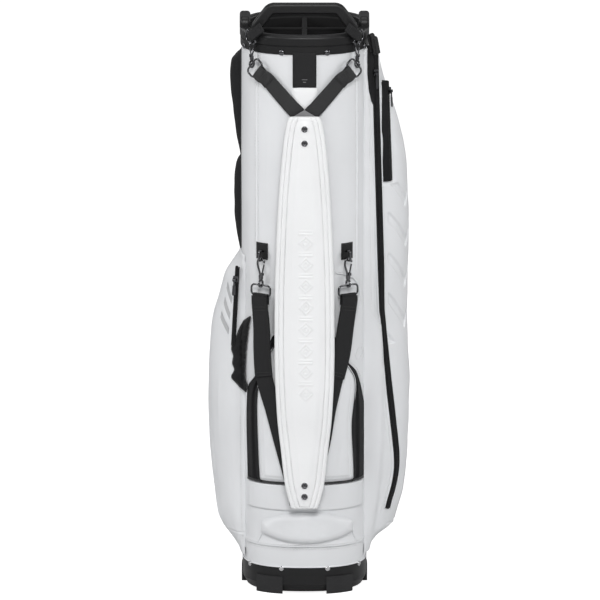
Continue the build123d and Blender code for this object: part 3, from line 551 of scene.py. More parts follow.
def ribbon(name, P, Nn, width, thick, mat, rides, nodes=(), slot=None, edge=0.6, ripple=0.0, soup_only=False, sides=None):
    """Flat web along a path. Nn points out of its face. Rounded edges and true lengths in the UV."""
    P, T = np.asarray(P, float), tangents(np.asarray(P, float))
    Nn = unit(Nn - T * np.sum(Nn * T, 1, keepdims=True))
    S = np.cross(T, Nn) if sides is None else unit(sides)
    w = np.broadcast_to(np.asarray(width, float), (len(P),))
    k = 7
    xs = np.linspace(-1, 1, k)
    prof = [(x, 0.5) for x in xs] + [(1.0, 0.0)] + [(x, -0.5) for x in xs[::-1]] + [(-1.0, 0.0)]
    prof = [(x * (1 if abs(y) < 0.1 or abs(x) < 0.99 else 1 - edge / (w.mean() / 2)), y) for x, y in prof]
    d = np.r_[0, np.cumsum(np.linalg.norm(np.diff(P, axis=0), axis=1))]
    V, UV = [], []
    for j in range(len(P)):
        for x, y in prof:
            bow = ripple * (1 - x * x)
            V.append(P[j] + S[j] * x * w[j] / 2 + Nn[j] * (y * thick + bow))
            UV.append(((x * w[j] / 2) * 0.001, d[j] * 0.001))
    m = len(prof)
    f = grid_faces(len(P), m, wrap=True)
    f.append(tuple(range(m))[::-1])
    f.append(tuple((len(P) - 1) * m + i for i in range(m)))
    ob = raw_mesh(name, V, f, UV)
    return finish_mesh(ob, mat, rides, nodes)


def join(objs, name):
    """Joins finished pieces that ride on the same body into one."""
    objs = [o for o in objs if o is not None]
    bpy.ops.object.select_all(action="DESELECT")
    for o in objs:
        o.select_set(True)
    bpy.context.view_layer.objects.active = objs[0]
    bpy.ops.object.join()
    objs[0].name = name
    objs[0].data.name = name
    return objs[0]


def gauss(d, w):
    return np.exp(-(np.asarray(d) / w) ** 2)


def wrinkle(x, y, seed, scale, terms=7, stretch=(1.0, 1.0)):
    """Smooth low folds from a few random plane waves."""
    g = np.random.default_rng(seed)
    out = 0
    for _ in range(terms):
        a = g.uniform(0, math.pi)
        k = 2 * math.pi / (scale * g.uniform(0.7, 1.8))
        out = out + np.sin(k * (x * math.cos(a) * stretch[0] + y * math.sin(a) * stretch[1]) + g.uniform(0, 6.28))
    return out / terms


def dense_axis(lo, hi, step, spots=(), fine=0.5, reach=3.0):
    s = [lo, hi] + list(np.arange(lo, hi, step))
    for c in spots:
        s += [v for v in np.arange(c - reach, c + reach + 0.01, fine) if lo < v < hi]
    s = np.unique(np.round(s, 3))
    keep = [s[0]]
    for v in s[1:]:
        if v - keep[-1] > fine * 0.6:
            keep.append(v)
    keep[-1] = hi
    return np.array(keep)


# ================================================================= cloth
def inflate(ob, pinned, pressure=4.0, frames=18, cap=4.0, stiff=18.0, bend=2.0, shrink=0.0, levels=1):
    """Fills the panel with air against its pinned seams, then keeps the result within cap of where it began."""
    me = ob.data
    n = len(me.vertices)
    before = np.zeros(n * 3)
    me.vertices.foreach_get("co", before)
    before = before.reshape(-1, 3)
    vg = ob.vertex_groups.new(name="pin")
    for i, w in enumerate(pinned):
        if w > 0:
            vg.add([i], float(w), "REPLACE")
    mod = ob.modifiers.new("cloth", "CLOTH")
    st = mod.settings
    st.quality = 5
    st.mass = 0.35
    st.tension_stiffness = st.compression_stiffness = stiff
    st.shear_stiffness = stiff * 0.4
    st.bending_stiffness = bend
    st.use_pressure = True
    st.uniform_pressure_force = pressure
    st.shrink_min = shrink
    st.vertex_group_mass = "pin"
    st.effector_weights.gravity = 0.0
    mod.collision_settings.use_collision = False
    mod.point_cache.frame_start = 1
    mod.point_cache.frame_end = frames + 2
    sc = bpy.context.scene
    for f in range(1, frames + 1):
        sc.frame_set(f)
    dg = bpy.context.evaluated_depsgraph_get()
    ev = ob.evaluated_get(dg)
    after = np.zeros(n * 3)
    ev.data.vertices.foreach_get("co", after)
    after = after.reshape(-1, 3)
    ob.modifiers.remove(mod)
    move = after - before
    if not np.isfinite(move).all():
        move[:] = 0
    size = np.linalg.norm(move, axis=1, keepdims=True)
    lim = cap * 0.001
    move *= np.where(size > 1e-9, lim * np.tanh(size / lim) / np.maximum(size, 1e-9), 0)
    me.vertices.foreach_set("co", (before + move).ravel())
    me.update()
    sc.frame_set(1)
    ob.vertex_groups.clear()
    if levels:
        sub = ob.modifiers.new("sub", "SUBSURF")
        sub.levels = sub.render_levels = levels
        sub.boundary_smooth = "PRESERVE_CORNERS"
        bpy.context.view_layer.objects.active = ob
        bpy.ops.object.select_all(action="DESELECT")
        ob.select_set(True)
        bpy.ops.object.modifier_apply(modifier="sub")
    return ob


def vertex_uv(ob):
    """The (phi, z) that each vertex carries through subdivision."""
    me = ob.data
    idx = np.zeros(len(me.loops), int)
    me.loops.foreach_get("vertex_index", idx)
    uv = np.zeros(len(me.loops) * 2)
    me.uv_layers[0].data.foreach_get("uv", uv)
    out = np.zeros((len(me.vertices), 2))
    out[idx] = uv.reshape(-1, 2)
    return out


def push(ob, amount):
    """Moves vertices along their normals, in millimetres."""
    me = ob.data
    n = len(me.vertices)
    co, no = np.zeros(n * 3), np.zeros(n * 3)
    me.vertices.foreach_get("co", co)
    me.vertices.foreach_get("normal", no)
    co = co.reshape(-1, 3) + no.reshape(-1, 3) * np.asarray(amount)[:, None] * 0.001
    me.vertices.foreach_set("co", co.ravel())
    me.update()


# ================================================================= more helpers for this bag
def front_pt(x, z, off=0.0):
    """Point on the front of the tube at this x, pushed out along the tube's normal."""
    x, z = np.broadcast_arrays(np.asarray(x, float), np.asarray(z, float))
    a, b = A + body_off(z), B + body_off(z)
    y = -b * (1 - np.minimum(np.abs(x) / a, 0.9999) ** N) ** (1 / N)
    nx = np.sign(x) * np.abs(x) ** (N - 1) / a ** N
    ny = -np.abs(y) ** (N - 1) / b ** N
    ln = np.sqrt(nx * nx + ny * ny)
    n = np.stack([nx / ln, ny / ln, 0 * nx], -1)
    off = np.broadcast_to(np.asarray(off, float), x.shape)
    return np.stack([x, y, z + 0 * x], -1) + n * off[..., None]


def front_n(x, z):
    return unit(front_pt(x, z, 1.0) - front_pt(x, z, 0.0))


def dome(soup, c, n, r, h, rings=5, sides=20, dimple=0.0):
    """Rivet or screw head."""
    c, n = np.asarray(c, float), unit(np.asarray(n, float))
    ref = np.array([0, 0, 1.0]) if abs(n[2]) < 0.9 else np.array([1.0, 0, 0])
    u = unit(np.cross(ref, n))
    w = np.cross(n, u)
    prof = [(1.0, -0.6), (1.0, 0.15)]
    for k in range(1, rings + 1):
        a = k / rings * math.pi / 2
        prof.append((math.cos(a), 0.15 + 0.85 * math.sin(a)))
    v = []
    for rr, hh in prof:
        rr = max(rr, 0.02)
        dip = -dimple * gauss(rr, 0.45)
        for i in range(sides):
            t = 2 * math.pi * i / sides
            v.append(c + (u * math.cos(t) + w * math.sin(t)) * r * rr + n * (h * hh + dip))
    f = grid_faces(len(prof), sides, wrap=True)
    f.append(tuple((len(prof) - 1) * sides + i for i in range(sides)))
    soup.add(v, f)


def box_at(soup, c, t, n, s, lx, ly, lz):
    """Small block: lx along t, ly along s, lz along n."""
    v = []
    for dx in (-1, 1):
        for dy in (-1, 1):
            for dz in (-1, 1):
                k = 0.72 if dz > 0 else 1.0
                v.append(c + t * dx * lx / 2 * k + s * dy * ly / 2 + n * dz * lz / 2)
    soup.add(v, [(0, 1, 3, 2), (4, 6, 7, 5), (0, 4, 5, 1), (2, 3, 7, 6), (0, 2, 6, 4), (1, 5, 7, 3)])


def zip_run(name, P, Nn, width, nodes=(), pitch=1.9, depth=2.5):
    """Zip: two tape halves that dip to the middle and two rows of interlocked teeth."""
    P = resample(P, 2.0)
    T = tangents(P)
    idx = np.linspace(0, 1, len(Nn))
    Nn = np.stack([np.interp(np.linspace(0, 1, len(P)), idx, np.asarray(Nn)[:, k]) for k in range(3)], 1)
    Nn = unit(Nn - T * np.sum(Nn * T, 1, keepdims=True))
    S = np.cross(T, Nn)
    prof = [(-0.5, -depth), (-0.5, 0.1), (-0.42, 0.35), (-0.24, 0.1), (-0.12, -0.1), (0, -0.3), (0.12, -0.1), (0.24, 0.1),
            (0.42, 0.35), (0.5, 0.1), (0.5, -depth)]
    d = np.r_[0, np.cumsum(np.linalg.norm(np.diff(P, axis=0), axis=1))]
    V = P[:, None] + S[:, None] * (np.array([x for x, _ in prof]) * width)[None, :, None] \
        + Nn[:, None] * np.array([y for _, y in prof])[None, :, None]
    uv = np.stack(np.broadcast_arrays((np.array([x for x, _ in prof]) * width * 0.001)[None, :], (d * 0.001)[:, None]), -1)
    tape = grid_object(name + "_tape", V, TAPE, nodes=nodes, uv=uv)
    teeth, seams = Soup(), Soup()
    s = 1.0
    both = np.hstack([P, Nn, T])
    k = 0
    while s < d[-1] - 1:
        q = np.array([np.interp(s, d, both[:, i]) for i in range(9)])
        p, n, t = q[:3], unit(q[3:6]), unit(q[6:])
        sd = np.cross(t, n)
        side = 1 if k % 2 else -1
        box_at(teeth, p + n * 0.35 + sd * side * 0.85, t, n, sd, pitch * 0.55, 2.5, 1.1)
        s += pitch / 2
        k += 1
    ends = []
    for q in (0, -1):
        box_at(teeth, P[q] + Nn[q] * 0.5, T[q], Nn[q], S[q], 3.0, 4.2, 1.6)
    for side in (-1, 1):
        stitch(seams, P + S * side * width * 0.40 + Nn * 0.3, Nn, 3.6, 2.4, 0.28)
    teeth.make(name + "_teeth", COIL, "bag", smooth=False)
    seams.make(name + "_tape_stitch", DKTHREAD, "bag")
    return tape


def on_surface(surf, phi, z, off=0.0):
    phi, z = np.asarray(phi, float), np.asarray(z, float)
    return surf.at(phi, z, off), surf.normal(phi, z)


# ================================================================= CAD pieces that keep their solid shape
KEEP = {
    "base_shell": PLASTIC, "base_feet": RUBBER, "base_collar": PLASTIC, "cuff_ring": PLASTIC, "front_grip": PLASTIC,
    "side_grips": PLASTIC, "divider_frame": FOAM, "spine_stays": ALU, "cuff_d_rings": NICKEL,
    "mid_anchor_rings": NICKEL, "upper_swivels": NICKEL, "lower_swivels": NICKEL, "upper_d_rings": NICKEL,
    "lower_d_rings": NICKEL,
}
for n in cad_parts:
    if n.endswith(("_hook", "_gate", "_slider", "_puller")):
        KEEP[n] = NICKEL
for n, mat in KEEP.items():
    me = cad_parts[n].data
    me.materials.clear()
    me.materials.append(mat)

# ================================================================= tube
SEAM_L, SEAM_R = -43.8, 49.5


def smooth01(x):
    x = np.clip(x, 0, 1)
    return x * x * (3 - 2 * x)


def tube_detail(phi, z):
    r = oval_r(phi)
    arc = np.radians(phi) * r
    d = 0.55 * wrinkle(arc, z, 3, 150, stretch=(1.0, 0.45))
    for p, z0 in ((SEAM_L, 545), (SEAM_R, 520)):
        a = np.radians(phi - p) * r
        on = smooth01((z - z0) / 12)
        d = d + on * (-1.3 * gauss(a, 0.9) + 0.55 * gauss(a - 2.4, 1.5) + 0.35 * gauss(a + 2.4, 1.5))
    a = np.radians(phi - 180) * r
    d = d - 1.2 * gauss(a, 0.9) - 1.2 * gauss(np.radians(phi + 180) * r, 0.9)
    d = d - 1.4 * gauss(z - 77, 1.2) + 0.7 * gauss(z - 81, 2.2)
    x = r * np.sin(np.radians(phi))
    front = np.abs(phi) < 90
    for x0, zc, ln, k in ((88, 790, 46, 0.9), (93, 760, 60, -0.8), (84, 690, 80, 0.5), (-60, 700, 70, 0.35),
                          (90, 470, 60, 0.7), (-88, 470, 50, 0.5)):
        d = d + front * k * gauss(x - x0 - 0.02 * (z - zc), 1.9) * gauss(z - zc, ln)
    d = d + 0.9 * gauss(z - 66, 9) * np.sin(phi / 9.0) * 0.35
    return d


ph = dense_axis(-180, 180, 1.5, spots=(SEAM_L, SEAM_R), fine=0.22, reach=2.4)
zz = dense_axis(43.6, 883.5, 3.5, spots=(77,), fine=0.7, reach=6)
F, Z = np.meshgrid(ph, zz)
grid_object("tube_leather", body.at(F, Z, tube_detail(F, Z)), WHITE, nodes=("body_shell",))
zz = np.linspace(9, 896, 90)
F, Z = np.meshgrid(np.linspace(-180, 180, 181), zz)
grid_object("tube_lining", body.at(F, Z, -3.3 + 0.5 * wrinkle(np.radians(F) * 100, Z, 5, 60)), LINING, flip=True)
rim = Soup()
tube(rim, polar(oval_r(np.linspace(0, 360, 200, endpoint=False), -1.6), np.linspace(0, 360, 200, endpoint=False), 895.0 + 0 * np.linspace(0, 1, 200)), 1.6, closed=True)
rim.make("tube_rim_binding", PIPING, "bag")

stitches = Soup()
for p, z0 in ((SEAM_L, 548), (SEAM_R, 524)):
    z = np.linspace(z0, 880, 160)
    for side in (-3.4, 3.4):
        P, Nn = on_surface(body, p + np.degrees(side / 100.0) + 0 * z, z, 0.3)
        stitch(stitches, P, Nn)
for z0 in (73.2, 81.2):
    f = np.linspace(-180, 180, 300)
    P, Nn = on_surface(body, f, z0 + 0 * f, 0.3)
    stitch(stitches, P, Nn)
for side in (-3.4, 3.4):
    z = np.linspace(380, 880, 200)
    P, Nn = on_surface(body, 180 + np.degrees(side / 104.0) + 0 * z, z, 0.3)
    stitch(stitches, P, Nn)

# divider sheets with soft folds
panels = Soup()
for along in (0, 1):
    u = np.linspace(-88, 88, 45)
    z = np.linspace(60, 888, 90)
    U, ZZ = np.meshgrid(u, z)
    w = 2.0 * wrinkle(U, ZZ, 11 + along, 120) * np.clip((888 - ZZ) / 60, 0, 1)
    for sgn in (-1, 1):
        P = np.stack([U, w + sgn * 0.5, ZZ], -1) if along == 0 else np.stack([w + sgn * 0.5, U, ZZ], -1)
        panels.add(P.reshape(-1, 3), grid_faces(90, 45))
panels.make("divider_sheets", LINING, "bag", nodes=("divider_panels",))
tops = Soup()
for along in (0, 1):
    u = np.linspace(-82, 82, 60)
    z = 902.0 + 0 * u
    P = np.stack([u, 0 * u, z], -1) if along == 0 else np.stack([0 * u, u, z], -1)
    tube(tops, P, 4.3, sides=14, squash=0.62)
tops.make("divider_rolled_tops", FOAM, "bag")

# screws and rivets
scr = Soup()
for phi in (19.5, -19.5, 62, -62, 118, -118, 160.5, -160.5):
    r = ((np.abs(np.sin(np.radians(phi))) / 102.4) ** N + (np.abs(np.cos(np.radians(phi))) / 106.4) ** N) ** (-1 / N)
    p = polar(r, np.array(float(phi)), np.array(885.5))
    dome(scr, p, body.normal(phi, 800.0), 4.9, 3.0)
scr.make("cuff_studs", NICKEL, "bag", nodes=("cuff_screws",))
riv = Soup()
for sx in (-1, 1):
    for sy in (-1, 1):
        for x in (37.0, 87.0):
            y = 103.4 * (1 - (x / 99.4) ** N) ** (1 / N)
            n = unit(np.array([sx * x ** 1.5 / 99.4 ** N, sy * y ** 1.5 / 103.4 ** N, 0]))
            dome(riv, np.array([sx * x, sy * y, 41.0]), n, 4.1, 2.2, dimple=0.8)
riv.make("collar_rivets", CHROME, "bag", nodes=("base_rivets",))
col = Soup()
f = np.linspace(0, 360, 240, endpoint=False)
tube(col, polar(oval_r(f, -1.9), f, 43.6 + 0 * f), 1.1, closed=True)
col.make("collar_edge_piping", WHITE, "bag")


# ================================================================= tabs under the cuff
def leather_tab(name, xz, zc, thick=2.4, off=0.4, nodes=(), mat=None, n_seam=True, rides="bag"):
    """Padded leather patch with a closed outline given as (x, z), laid on the front of the tube."""
    out = resample(smooth_path(np.vstack([np.array(xz, float), xz[0]]), 200), 2.0, closed=False)[:-1]
    c = out.mean(0)
    rings = [1.0, 0.985, 0.95, 0.90, 0.84, 0.7, 0.5, 0.3, 0.1]
    hs = [0.0, 0.55, 0.9, 0.72, 0.98, 1.05, 1.1, 1.12, 1.12]
    V = []
    for k, h in zip(rings, hs):
        q = c + (out - c) * k
        V.append(front_pt(q[:, 0], q[:, 1], off + thick * h))
    V = np.array(V)
    m = len(out)
    f = grid_faces(len(rings), m, wrap=True)
    f.append(tuple((len(rings) - 1) * m + i for i in range(m)))
    ob = finish_mesh(raw_mesh(name, V.reshape(-1, 3), f), mat or PADWHITE, rides, nodes)
    if n_seam:
        q = c + (out - c) * 0.90
        q = np.vstack([q, q[:1]])
        stitch(stitches, front_pt(q[:, 0], q[:, 1], off + thick * 0.72), front_n(q[:, 0], q[:, 1]), 4.4, 3.0, 0.36)
    return ob


z = np.linspace(886, 829, 16)
ribbon("centre_web_tab_weave", front_pt(0 * z, z, 1.5), front_n(0 * z, z), 38, 2.2, WEB, "bag", nodes=("centre_web_tab",))
mark = Soup()
for q, wdt in ((842, 9), (838, 5)):
    x = np.linspace(-wdt / 2, wdt / 2, 8)
    tube(mark, front_pt(x, q + 0 * x, 2.8), 0.55, sides=6)
mark.make("centre_web_tab_bars", GREYCLOTH, "bag")
leather_tab("centre_leather_tab_skin", [(-19.5, 829), (-10, 829.5), (0, 829.5), (10, 829.5), (19.5, 829), (20, 815), (19.5, 800), (15, 784),
            (8, 772), (0, 768), (-8, 772), (-15, 784), (-19.5, 800), (-20, 815)], 800, nodes=("centre_leather_tab",), n_seam=False)


# ================================================================= pockets
def zip_height(z):
    return (130.0 - 0.0297 * (z - 430)) - float(oval_r(71.0))


def right_level(z, zh, bulge):
    pts = [(64.6, 2.6), (67.6, 0.6 * zh), (71.0, zh), (74.5, zh + 1.5)]
    for phi, h in ((81, 0.60), (90, 0.86), (100, 0.985), (108, 1.0), (118, 0.93), (128, 0.74), (138, 0.42)):
        pts.append((phi, max(3.5, bulge * h, zh * (0.8 if phi < 84 else 0.0))))
    pts.append((146, 3.0))
    return z, pts


RIGHT = [right_level(60, 5, 5), right_level(76, 8, 21), right_level(90, 11, 42), right_level(115, 15, 52), right_level(150, 20, 61),
         right_level(213, 25, 67), right_level(300, 27, 69.5)]
RIGHT += [right_level(z, zip_height(z), b) for z, b in
          ((430, 66.5), (574, 69), (672, 66), (738, 54), (787, 39), (830, 25), (876, 15))]


def left_level(z, bulge):
    return z, [(p, max(3.2, bulge * h)) for p, h in
               ((-144, 0.12), (-136, 0.5), (-126, 0.84), (-114, 1.0), (-101, 1.0), (-91, 0.93), (-82, 0.74), (-74, 0.52),
                (-68, 0.36), (-65, 0.16))]


LEFT = [left_level(57, 5), left_level(80, 23), left_level(94, 33), left_level(109, 39), left_level(148, 44),
        left_level(197, 50), left_level(246, 53), left_level(310, 54), left_level(410, 50), left_level(440, 44.5), left_level(462, 37.5),
        left_level(480, 33), left_level(500, 28), left_level(518, 17), left_level(536, 5)]


def side_level(z, bulge, start=-141.0, end=-95.0):
    span = end - start
    return z, [(start + span * f, max(2.6, bulge * h)) for f, h in
               ((0.06, 0.5), (0.16, 0.9), (0.35, 1.0), (0.65, 1.0), (0.86, 0.86), (0.94, 0.5))]


LEFT_UP = [side_level(*v) for v in ((696, 3), (722, 10), (770, 17), (815, 22), (845, 20), (858, 8), (864, 3))]
LEFT_MID = [side_level(*v) for v in ((536, 3), (556, 8), (596, 14), (646, 15), (676, 12), (688, 7), (692, 3))]
BACK_BALL = [side_level(z, h, 152.5, 210.0) for z, h in
             ((92, 6), (112, 30), (150, 44), (220, 50), (300, 46), (345, 30), (362, 8))]
BACK_UP = [side_level(z, h, 156.0, 204.0) for z, h in ((430, 4), (446, 13), (500, 17), (620, 17), (700, 13), (716, 4))]


def pocket(name, levels, phis, nodes, pins, detail=None, pressure=4.0, cap=3.5, roll=7.0, black=None, step=5.0, slack=0.0,
           seed=1, subs=1, fill=1.0):
    """A stuffed leather pocket on the tube. pins: list of (kind, value, width) seams that the air cannot lift."""
    hf = level_height(levels, phis)
    z0, z1 = levels[0][0], levels[-1][0]
    top_h = max(h for _, h in levels[-1][1])

    def height(phi, z):
        zc = np.clip(z, z0, z1)
        over = np.maximum(z - z1, z0 - z) / roll
        k = np.sqrt(np.clip(1 - np.clip(over, 0, 1) ** 2, 0, 1))
        return hf(phi, zc) * k + 0.15 * (1 - k)

    surf = Surface(height)
    span = math.radians(phis[1] - phis[0]) * 135
    nu = int(span / step) + 2
    nv = int((z1 - z0) / step) + 2
    ph = np.linspace(phis[0], phis[1], nu)
    core = np.linspace(z0, z1, nv)
    zz = np.r_[z0 - roll * np.array([1.0, 0.92, 0.6]), core, z1 + roll * np.array([0.6, 0.92, 1.0])]
    F, Z = np.meshgrid(ph, zz)
    P = surf.raw(F, Z)
    uv = np.stack([F, Z], -1)
    ob = raw_mesh(name, P.reshape(-1, 3), grid_faces(len(zz), nu), uv.reshape(-1, 2))
    pin = np.zeros(F.shape)
    pin[:, :1] = pin[:, -1:] = 1
    pin[:3] = pin[-3:] = 1
    for kind, value, width in pins:
        d = None
        if kind == "phi":
            v = value(Z) if callable(value) else value
            d = np.abs(F - v) * 2.3
        elif kind == "z":
            d = np.abs(Z - value)
        pin = np.maximum(pin, (d < width).astype(float))
    inflate(ob, pin.ravel(), pressure=pressure, cap=cap, shrink=slack, levels=subs)
    q = vertex_uv(ob)
    x = np.radians(q[:, 0]) * 140
    edge = np.minimum.reduce([(q[:, 0] - phis[0]) * 2.3, (phis[1] - q[:, 0]) * 2.3, (q[:, 1] - z0) + roll, z1 + roll - q[:, 1]])
    soft = smooth01(edge / 25)
    amt = soft * (0.9 * wrinkle(x, q[:, 1], seed, 95, stretch=(1.2, 0.6)) + 0.35 * wrinkle(x, q[:, 1], seed + 9, 38))
    if detail is not None:
        amt = amt + detail(q[:, 0], q[:, 1], x)
    push(ob, amt)
    mats = [WHITE]
    fm = None
    if black is not None:
        mats = [WHITE, MESH]
        me = ob.data
        cen = np.zeros(len(me.polygons) * 3)
        vid = [p.vertices[0] for p in me.polygons]
        fm = black(q[vid][:, 0], q[vid][:, 1]).astype(int)
        me.polygons.foreach_set("material_index", fm)
        # weave scale: the UV becomes metres along the surface
    me = ob.data
    idx = np.zeros(len(me.loops), int)
    me.loops.foreach_get("vertex_index", idx)
    me.uv_layers[0].data.foreach_set("uv", (np.stack([x, q[:, 1]], -1)[idx] * 0.001).ravel())
    finish_mesh(ob, WHITE, "bag", nodes, mats=mats)
    return surf, ob


def crease(d, w=1.0, depth=1.3, lip=0.6):
    return -depth * gauss(d, w) + lip * (gauss(d - 2.6 * w, 1.5 * w) + gauss(d + 2.6 * w, 1.5 * w))


# ---- right pocket: path of the long zip in degrees round the bag
RIGHT_H = level_height(RIGHT, (63.6, 150))
right0 = Surface(lambda phi, z: RIGHT_H(phi, np.clip(z, 60, 876)))


def seen_on(surf, px_x, px_v, lo, hi):
    """(phi, z) where a skin is met at this place in the front view, by short search."""
    phis = np.linspace(lo, hi, 400)
    X = (px_x - 304.5) * 1.6
    y, f, z = 0.0, lo, 0.0
    for _ in range(12):
        z = (1.6 * (580 - px_v) - 0.2164 * y) / 0.976
        P = surf.raw(phis, z + 0 * phis)
        k = int(np.argmin(np.abs(P[:, 0] - X)))
        f, y = phis[k], P[k, 1]
    return f, z


LONG = [(381.2, 309), (382.6, 321), (384.6, 345), (387, 369), (389.6, 393), (392.4, 417), (395, 441), (396.2, 455), (396.2, 467),
        (394.6, 479), (392.4, 489), (389.2, 500), (387.2, 508)]
low = np.array([seen_on(right0, x, v, 64.5, 96.0) for x, v in LONG])
zz = np.r_[[866, 800, 720, 640, 560, 500], low[:, 1]]
ff = np.r_[[71.0] * 6, low[:, 0]]
o = np.argsort(zz)
ZIP_Z, ZIP_F = zz[o], ff[o]


def zip_phi(z):
    return pchip(ZIP_Z, ZIP_F, np.asarray(z, float).ravel()).reshape(np.shape(z))


def right_detail(phi, z, x):
    d = 0.0
    zp = zip_phi(np.clip(z, ZIP_Z[0], 866))
    a = (phi - zp) * 2.35
    d = d - 1.6 * np.exp(-(a / 5.0) ** 4) * (z > ZIP_Z[0]) * (z < 868)
    d = d + crease((phi - zp + 3.1) * 2.3, 0.9, 1.0, 0.5) * smooth01((z - 110) / 20)
    # the skin is drawn in under the short zip, where its slider passes
    a = (phi - 78.8 - (z - 662) * 0.049) * 2.45
    d = d - (1.6 + 2.4 * smooth01((742 - z) / 40)) * np.exp(-(a / 8.5) ** 4) * smooth01((z - 650) / 12) * smooth01((826 - z) / 12)
    # wide debossed strokes, a plain chevron field
    u = (phi - 91) * 2.75
    w = np.abs(((z - 520 - 1.3 * np.abs(u - 2)) % 66) - 33)
    zone = smooth01((36 - np.abs(u)) / 2.5) * smooth01((z - 392) / 3) * smooth01((655 - z) / 3)
    d = d - 2.8 * zone * smooth01((9.0 - w) / 1.1)
    # long soft folds low on the face and at the foot
    for f0, zc, ln, k, sl in ((101, 330, 34, 1.7, 0.05), (105, 300, 30, -1.5, 0.05), (98, 265, 26, 1.2, -0.06),
                              (92, 150, 28, 1.4, 0.10), (96, 180, 34, -1.1, 0.08), (112, 240, 60, 0.9, 0.03)):
        d = d + k * gauss((phi - f0) * 2.7 - sl * (z - zc), 3.2) * gauss(z - zc, ln)
    d = d + crease(z - 96, 1.2, 1.1, 0.6) * (phi > 84)
    d = d + crease((phi - 128) * 2.2, 1.0, 1.3, 0.6)
    return d


right, right_ob = pocket("right_pocket_leather", RIGHT, (63.6, 150), ("right_pocket",),
                         [("phi", zip_phi, 5.0), ("phi", 128, 2.5)], right_detail, pressure=5.0, cap=4.0, seed=21, subs=2)


def left_detail(phi, z, x):
    d = 0.0
    u = (phi + 77.5) * 3.0
    h = z - 452 + 0.8 * u
    w = np.abs(((h + 12) % 24) - 12)
    zone = smooth01((15 - np.abs(u)) / 2) * smooth01((33 - np.abs(h)) / 2)
    d = d - 1.7 * zone * smooth01((5.4 - w) / 1.4)
    d = d + crease((phi + 96) * 2.4, 0.9, 0.9, 0.4) * (z < 400)
    for f0, zc, ln, k, sl in ((-98, 250, 60, 1.3, 0.05), (-88, 200, 46, -1.2, -0.06), (-104, 150, 34, 1.5, 0.1),
                              (-90, 120, 26, 1.3, -0.12), (-80, 300, 40, 0.8, 0.02)):
        d = d + k * gauss((phi - f0) * 2.6 - sl * (z - zc), 3.4) * gauss(z - zc, ln)
    d = d + crease((phi + 128) * 2.2, 1.0, 1.3, 0.6) + crease(z - 88, 1.1, 1.0, 0.5)
    return d


left, left_ob = pocket("left_pocket_leather", LEFT, (-148, -63.6), ("left_pocket",), [("phi", -66.5, 3.0), ("phi", -128, 2.5)],
                       left_detail, pressure=5.0, cap=4.0, seed=33, subs=2)


# three plain printed bars lie in the debossed ones
fmark, zmark = np.meshgrid(np.linspace(-82.6, -72.4, 76), np.linspace(408, 496, 190))
umark = (fmark + 77.5) * 3.0
hmark = zmark - 452 + 0.8 * umark
wmark = np.abs(((hmark + 12) % 24) - 12)
inside = (np.abs(umark) < 15.0) & (np.abs(hmark) < 33) & (wmark < 5.6)
quads = inside[:-1, :-1] & inside[1:, 1:] & inside[:-1, 1:] & inside[1:, :-1]
jj, ii = np.nonzero(quads)
w = fmark.shape[1]
mark_faces = np.stack([jj * w + ii, (jj + 1) * w + ii, (jj + 1) * w + ii + 1, jj * w + ii + 1], 1)
used, back = np.unique(mark_faces, return_inverse=True)
mark_pts = left.at(fmark, zmark, 0.35).reshape(-1, 3)[used]
mark_ob = raw_mesh("left_pocket_print", mark_pts, [tuple(int(i) for i in q) for q in back.reshape(-1, 4)])
finish_mesh(mark_ob, PRINT, "bag", ("left_pocket",))


def gusset(phi, z):
    return (phi > -119)


def side_detail(phi, z, x):
    return crease((phi + 119) * 1.9, 1.0, 1.2, 0.7) + 0.15 * np.sin(z / 5.2) * gauss((phi + 104) * 1.9, 9)


leftup, _ = pocket("left_upper_pocket_skin", LEFT_UP, (-141, -95), ("left_upper_pocket",), [("phi", -119, 1.8)], side_detail,
                   black=gusset, step=4.0, roll=4.0, seed=41, cap=3.0)
leftmid, _ = pocket("left_middle_pocket_skin", LEFT_MID, (-141, -95), ("left_middle_pocket",), [("phi", -119, 1.8)],
                    side_detail, black=gusset, step=4.0, roll=4.0, seed=43, cap=3.0)


def ball_detail(phi, z, x):
    d = crease((phi - 206) * 2.4, 1.4, 1.6, 0.6) * (z > 120) * (z < 325)
    d = d + crease(z - 318, 1.0, 1.2, 0.6) * (phi < 203) + crease((phi - 160) * 2.4, 0.9, 1.0, 0.5)
    return d


ball, _ = pocket("back_ball_pocket_leather", BACK_BALL, (152.5, 210), ("back_ball_pocket",), [("phi", 206, 3.0), ("z", 318, 2.6)],
                 ball_detail, step=4.5, seed=51, cap=4.0, subs=2)


def backup_detail(phi, z, x):
    return crease(z - 640, 1.0, 1.3, 0.7) + crease((phi - 162) * 2.1, 0.8, 0.9, 0.4) + crease((phi - 198) * 2.1, 0.8, 0.9, 0.4)


backup, _ = pocket("back_upper_pocket_leather", BACK_UP, (156, 204), ("back_upper_pocket",), [("z", 640, 2.6)], backup_detail,
                   step=4.5, seed=61, cap=3.0)

# piping round the pockets, and stitching beside it
pipe_w, black_pipe_and_gap_shade = Soup(), Soup()


def edge_pipe(soup, surf, phi, z, r=1.5, off=0.6):
    P = resample(surf.at(np.asarray(phi, float), np.asarray(z, float), off), 3.0)
    tube(soup, P, r, sides=9)


